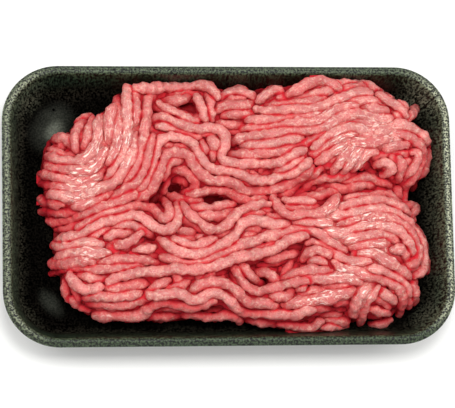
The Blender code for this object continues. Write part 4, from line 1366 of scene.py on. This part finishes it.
def makeCore(material):
    cell = heap["coreCell"]
    wide, tall = (meatHigh.x - meatLow.x) / mm, (meatHigh.y - meatLow.y) / mm
    middle = ((meatHigh.x + meatLow.x) / 2 / mm, (meatHigh.y + meatLow.y) / 2 / mm)
    bm = bmesh.new()
    bmesh.ops.create_grid(bm, x_segments=int(wide / cell), y_segments=int(tall / cell), size=0.5)
    bmesh.ops.scale(bm, vec=(wide, tall, 1), verts=bm.verts)
    bmesh.ops.translate(bm, vec=(*middle, 0), verts=bm.verts)
    for vert in bm.verts:
        vert.co.z = (float(heapCore.at(vert.co.x, vert.co.y)) + 0.5 * noise.noise(vert.co / 2.5)
                     - 3 * max(0, inPit(vert.co.x, vert.co.y)))
    low = [v for v in bm.verts if v.co.z < tray["floor"] + 0.7]
    bmesh.ops.delete(bm, geom=low, context="VERTS")
    edge = bmesh.ops.extrude_edge_only(bm, edges=[e for e in bm.edges if e.is_boundary])["geom"]
    for vert in [g for g in edge if isinstance(g, bmesh.types.BMVert)]:
        vert.co.z = tray["floor"] + 0.3
    bmesh.ops.holes_fill(bm, edges=[e for e in bm.edges if e.is_boundary])
    bmesh.ops.recalc_face_normals(bm, faces=bm.faces)
    bmesh.ops.scale(bm, vec=(mm, mm, mm), verts=bm.verts)
    mesh = bpy.data.meshes.new("minceCore")
    bm.to_mesh(mesh)
    bm.free()
    count = len(mesh.vertices)
    # painted shade: the core is marked deep and in a groove, so it takes the dark maroon
    markMesh(mesh, smear=[0] * count, depth=[8] * count, groove=[1] * count, tone=[0] * count,
             skin=[0] * 3 * count)
    mesh.shade_smooth()
    return placeMesh("minceCore", mesh, material)


def depthInWall(place):  # mm past the inside of the tray's wall
    footX, footY, away = outlineFoot(place.x, place.y)
    inset = tray["corner"] - Vector((place.x - footX, place.y - footY)).length
    return wallInset(place.z) - inset


def makeWeb(place, material):  # crumbs of meat that fill the grooves between the strands, painted in the grooves' blood-red shade
    cell = heap["webCell"]
    x0, y0 = place[:, 0].min(), place[:, 1].min()
    columns, rows = int((place[:, 0].max() - x0) / cell) + 1, int((place[:, 1].max() - y0) / cell) + 1
    high = np.full(rows * columns, tray["floor"], float)
    np.maximum.at(high, (((place[:, 1] - y0) / cell).astype(int) * columns
                         + ((place[:, 0] - x0) / cell).astype(int)), place[:, 2])
    high = high.reshape(rows, columns)
    for choose in (np.max, np.min, np.min, np.mean):  # narrow gaps are bridged, the edge is drawn in
        wide = np.pad(high, 1, mode="edge")
        high = choose([wide[a:a + rows, b:b + columns] for a in range(3) for b in range(3)], axis=0)
    web = HeightMap(high, x0, y0, cell)
    bm = bmesh.new()
    bmesh.ops.create_grid(bm, x_segments=columns, y_segments=rows, size=0.5)
    bmesh.ops.scale(bm, vec=(columns * cell, rows * cell, 1), verts=bm.verts)
    bmesh.ops.translate(bm, vec=(x0 + columns * cell / 2, y0 + rows * cell / 2, 0), verts=bm.verts)
    for vert in bm.verts:
        x, y = vert.co.x, vert.co.y
        filled = min(1, 1.6 * pressAt(x, y)[3])
        pitted = max(0, min(1, 2 * inPit(x, y)))
        under = heap["webUnder"] * (1 - 0.9 * filled) + 9 * pitted
        vert.co.z = float(web.at(x, y)) - under + 0.35 * noise.noise(vert.co / 1.8)
    hidden = [v for v in bm.verts if v.co.z < tray["floor"] + 4 or depthInWall(v.co) > 1]
    bmesh.ops.delete(bm, geom=hidden, context="VERTS")
    bmesh.ops.scale(bm, vec=(mm, mm, mm), verts=bm.verts)
    mesh = bpy.data.meshes.new("minceWeb")
    bm.to_mesh(mesh)
    bm.free()
    parts = [pressAt(v.co.x / mm, v.co.y / mm) for v in mesh.vertices]
    # painted shade: the web is marked deep and in a groove, so it is blood-red, less where pressed flat and
    # darkest in the pits
    depth = [2.8 * (1 - v[3]) + 7 * max(0, min(1, 2 * inPit(vert.co.x / mm, vert.co.y / mm)))
             for v, vert in zip(parts, mesh.vertices)]
    markMesh(mesh, smear=[v[2] for v in parts], depth=depth, groove=[1 - min(1, 1.6 * v[3]) for v in parts],
             tone=[0.5] * len(parts), skin=[(v.co.x / mm, v.co.y / mm / 3, 0) for v in mesh.vertices])
    mesh.shade_smooth()
    print("minceWeb", len(mesh.polygons), "faces")
    return placeMesh("minceWeb", mesh, material)


def makeMince(material):
    meshes = {}
    for number, s in enumerate(strands):
        s["number"] = number
    for fold in (*folds, "bed"):
        group = [s for s in strands if s["fold"] == fold]
        step, sides = (tube["bedStep"], tube["bedSides"]) if fold == "bed" else (tube["step"], tube["sides"])
        meshes[fold] = tubeMesh(group, step, sides)
    cloth = readTop(np.concatenate([meshPoints(mesh) for mesh, owner, skin in meshes.values()]))
    numbers, sizes = [], []
    neighbours = KDTree(sum(len(s["centres"]) for s in strands))
    for s in strands:
        for point in s["centres"]:
            neighbours.insert(point, len(numbers))
            numbers.append(s["number"])
            sizes.append(s["radius"])
    neighbours.balance()
    tones = np.array([dice.random() for s in strands], np.float32)
    pieces = [makeCore(material)]
    for fold, (mesh, owner, skin) in meshes.items():
        dressStrands(mesh, owner, skin, cloth, neighbours, numbers, sizes, tones)
        pieces.append(placeMesh("mince_" + fold, mesh, material))
        print("mince_" + fold, len(mesh.polygons), "faces")
    strandPoints = np.concatenate([meshPoints(mesh) for mesh, owner, skin in meshes.values()]) / mm
    pieces.append(makeWeb(strandPoints, material))
    return pieces


for piece in makeMince(meatMaterial()):
    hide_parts("mince")
    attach(piece, "root")
print("mince made")
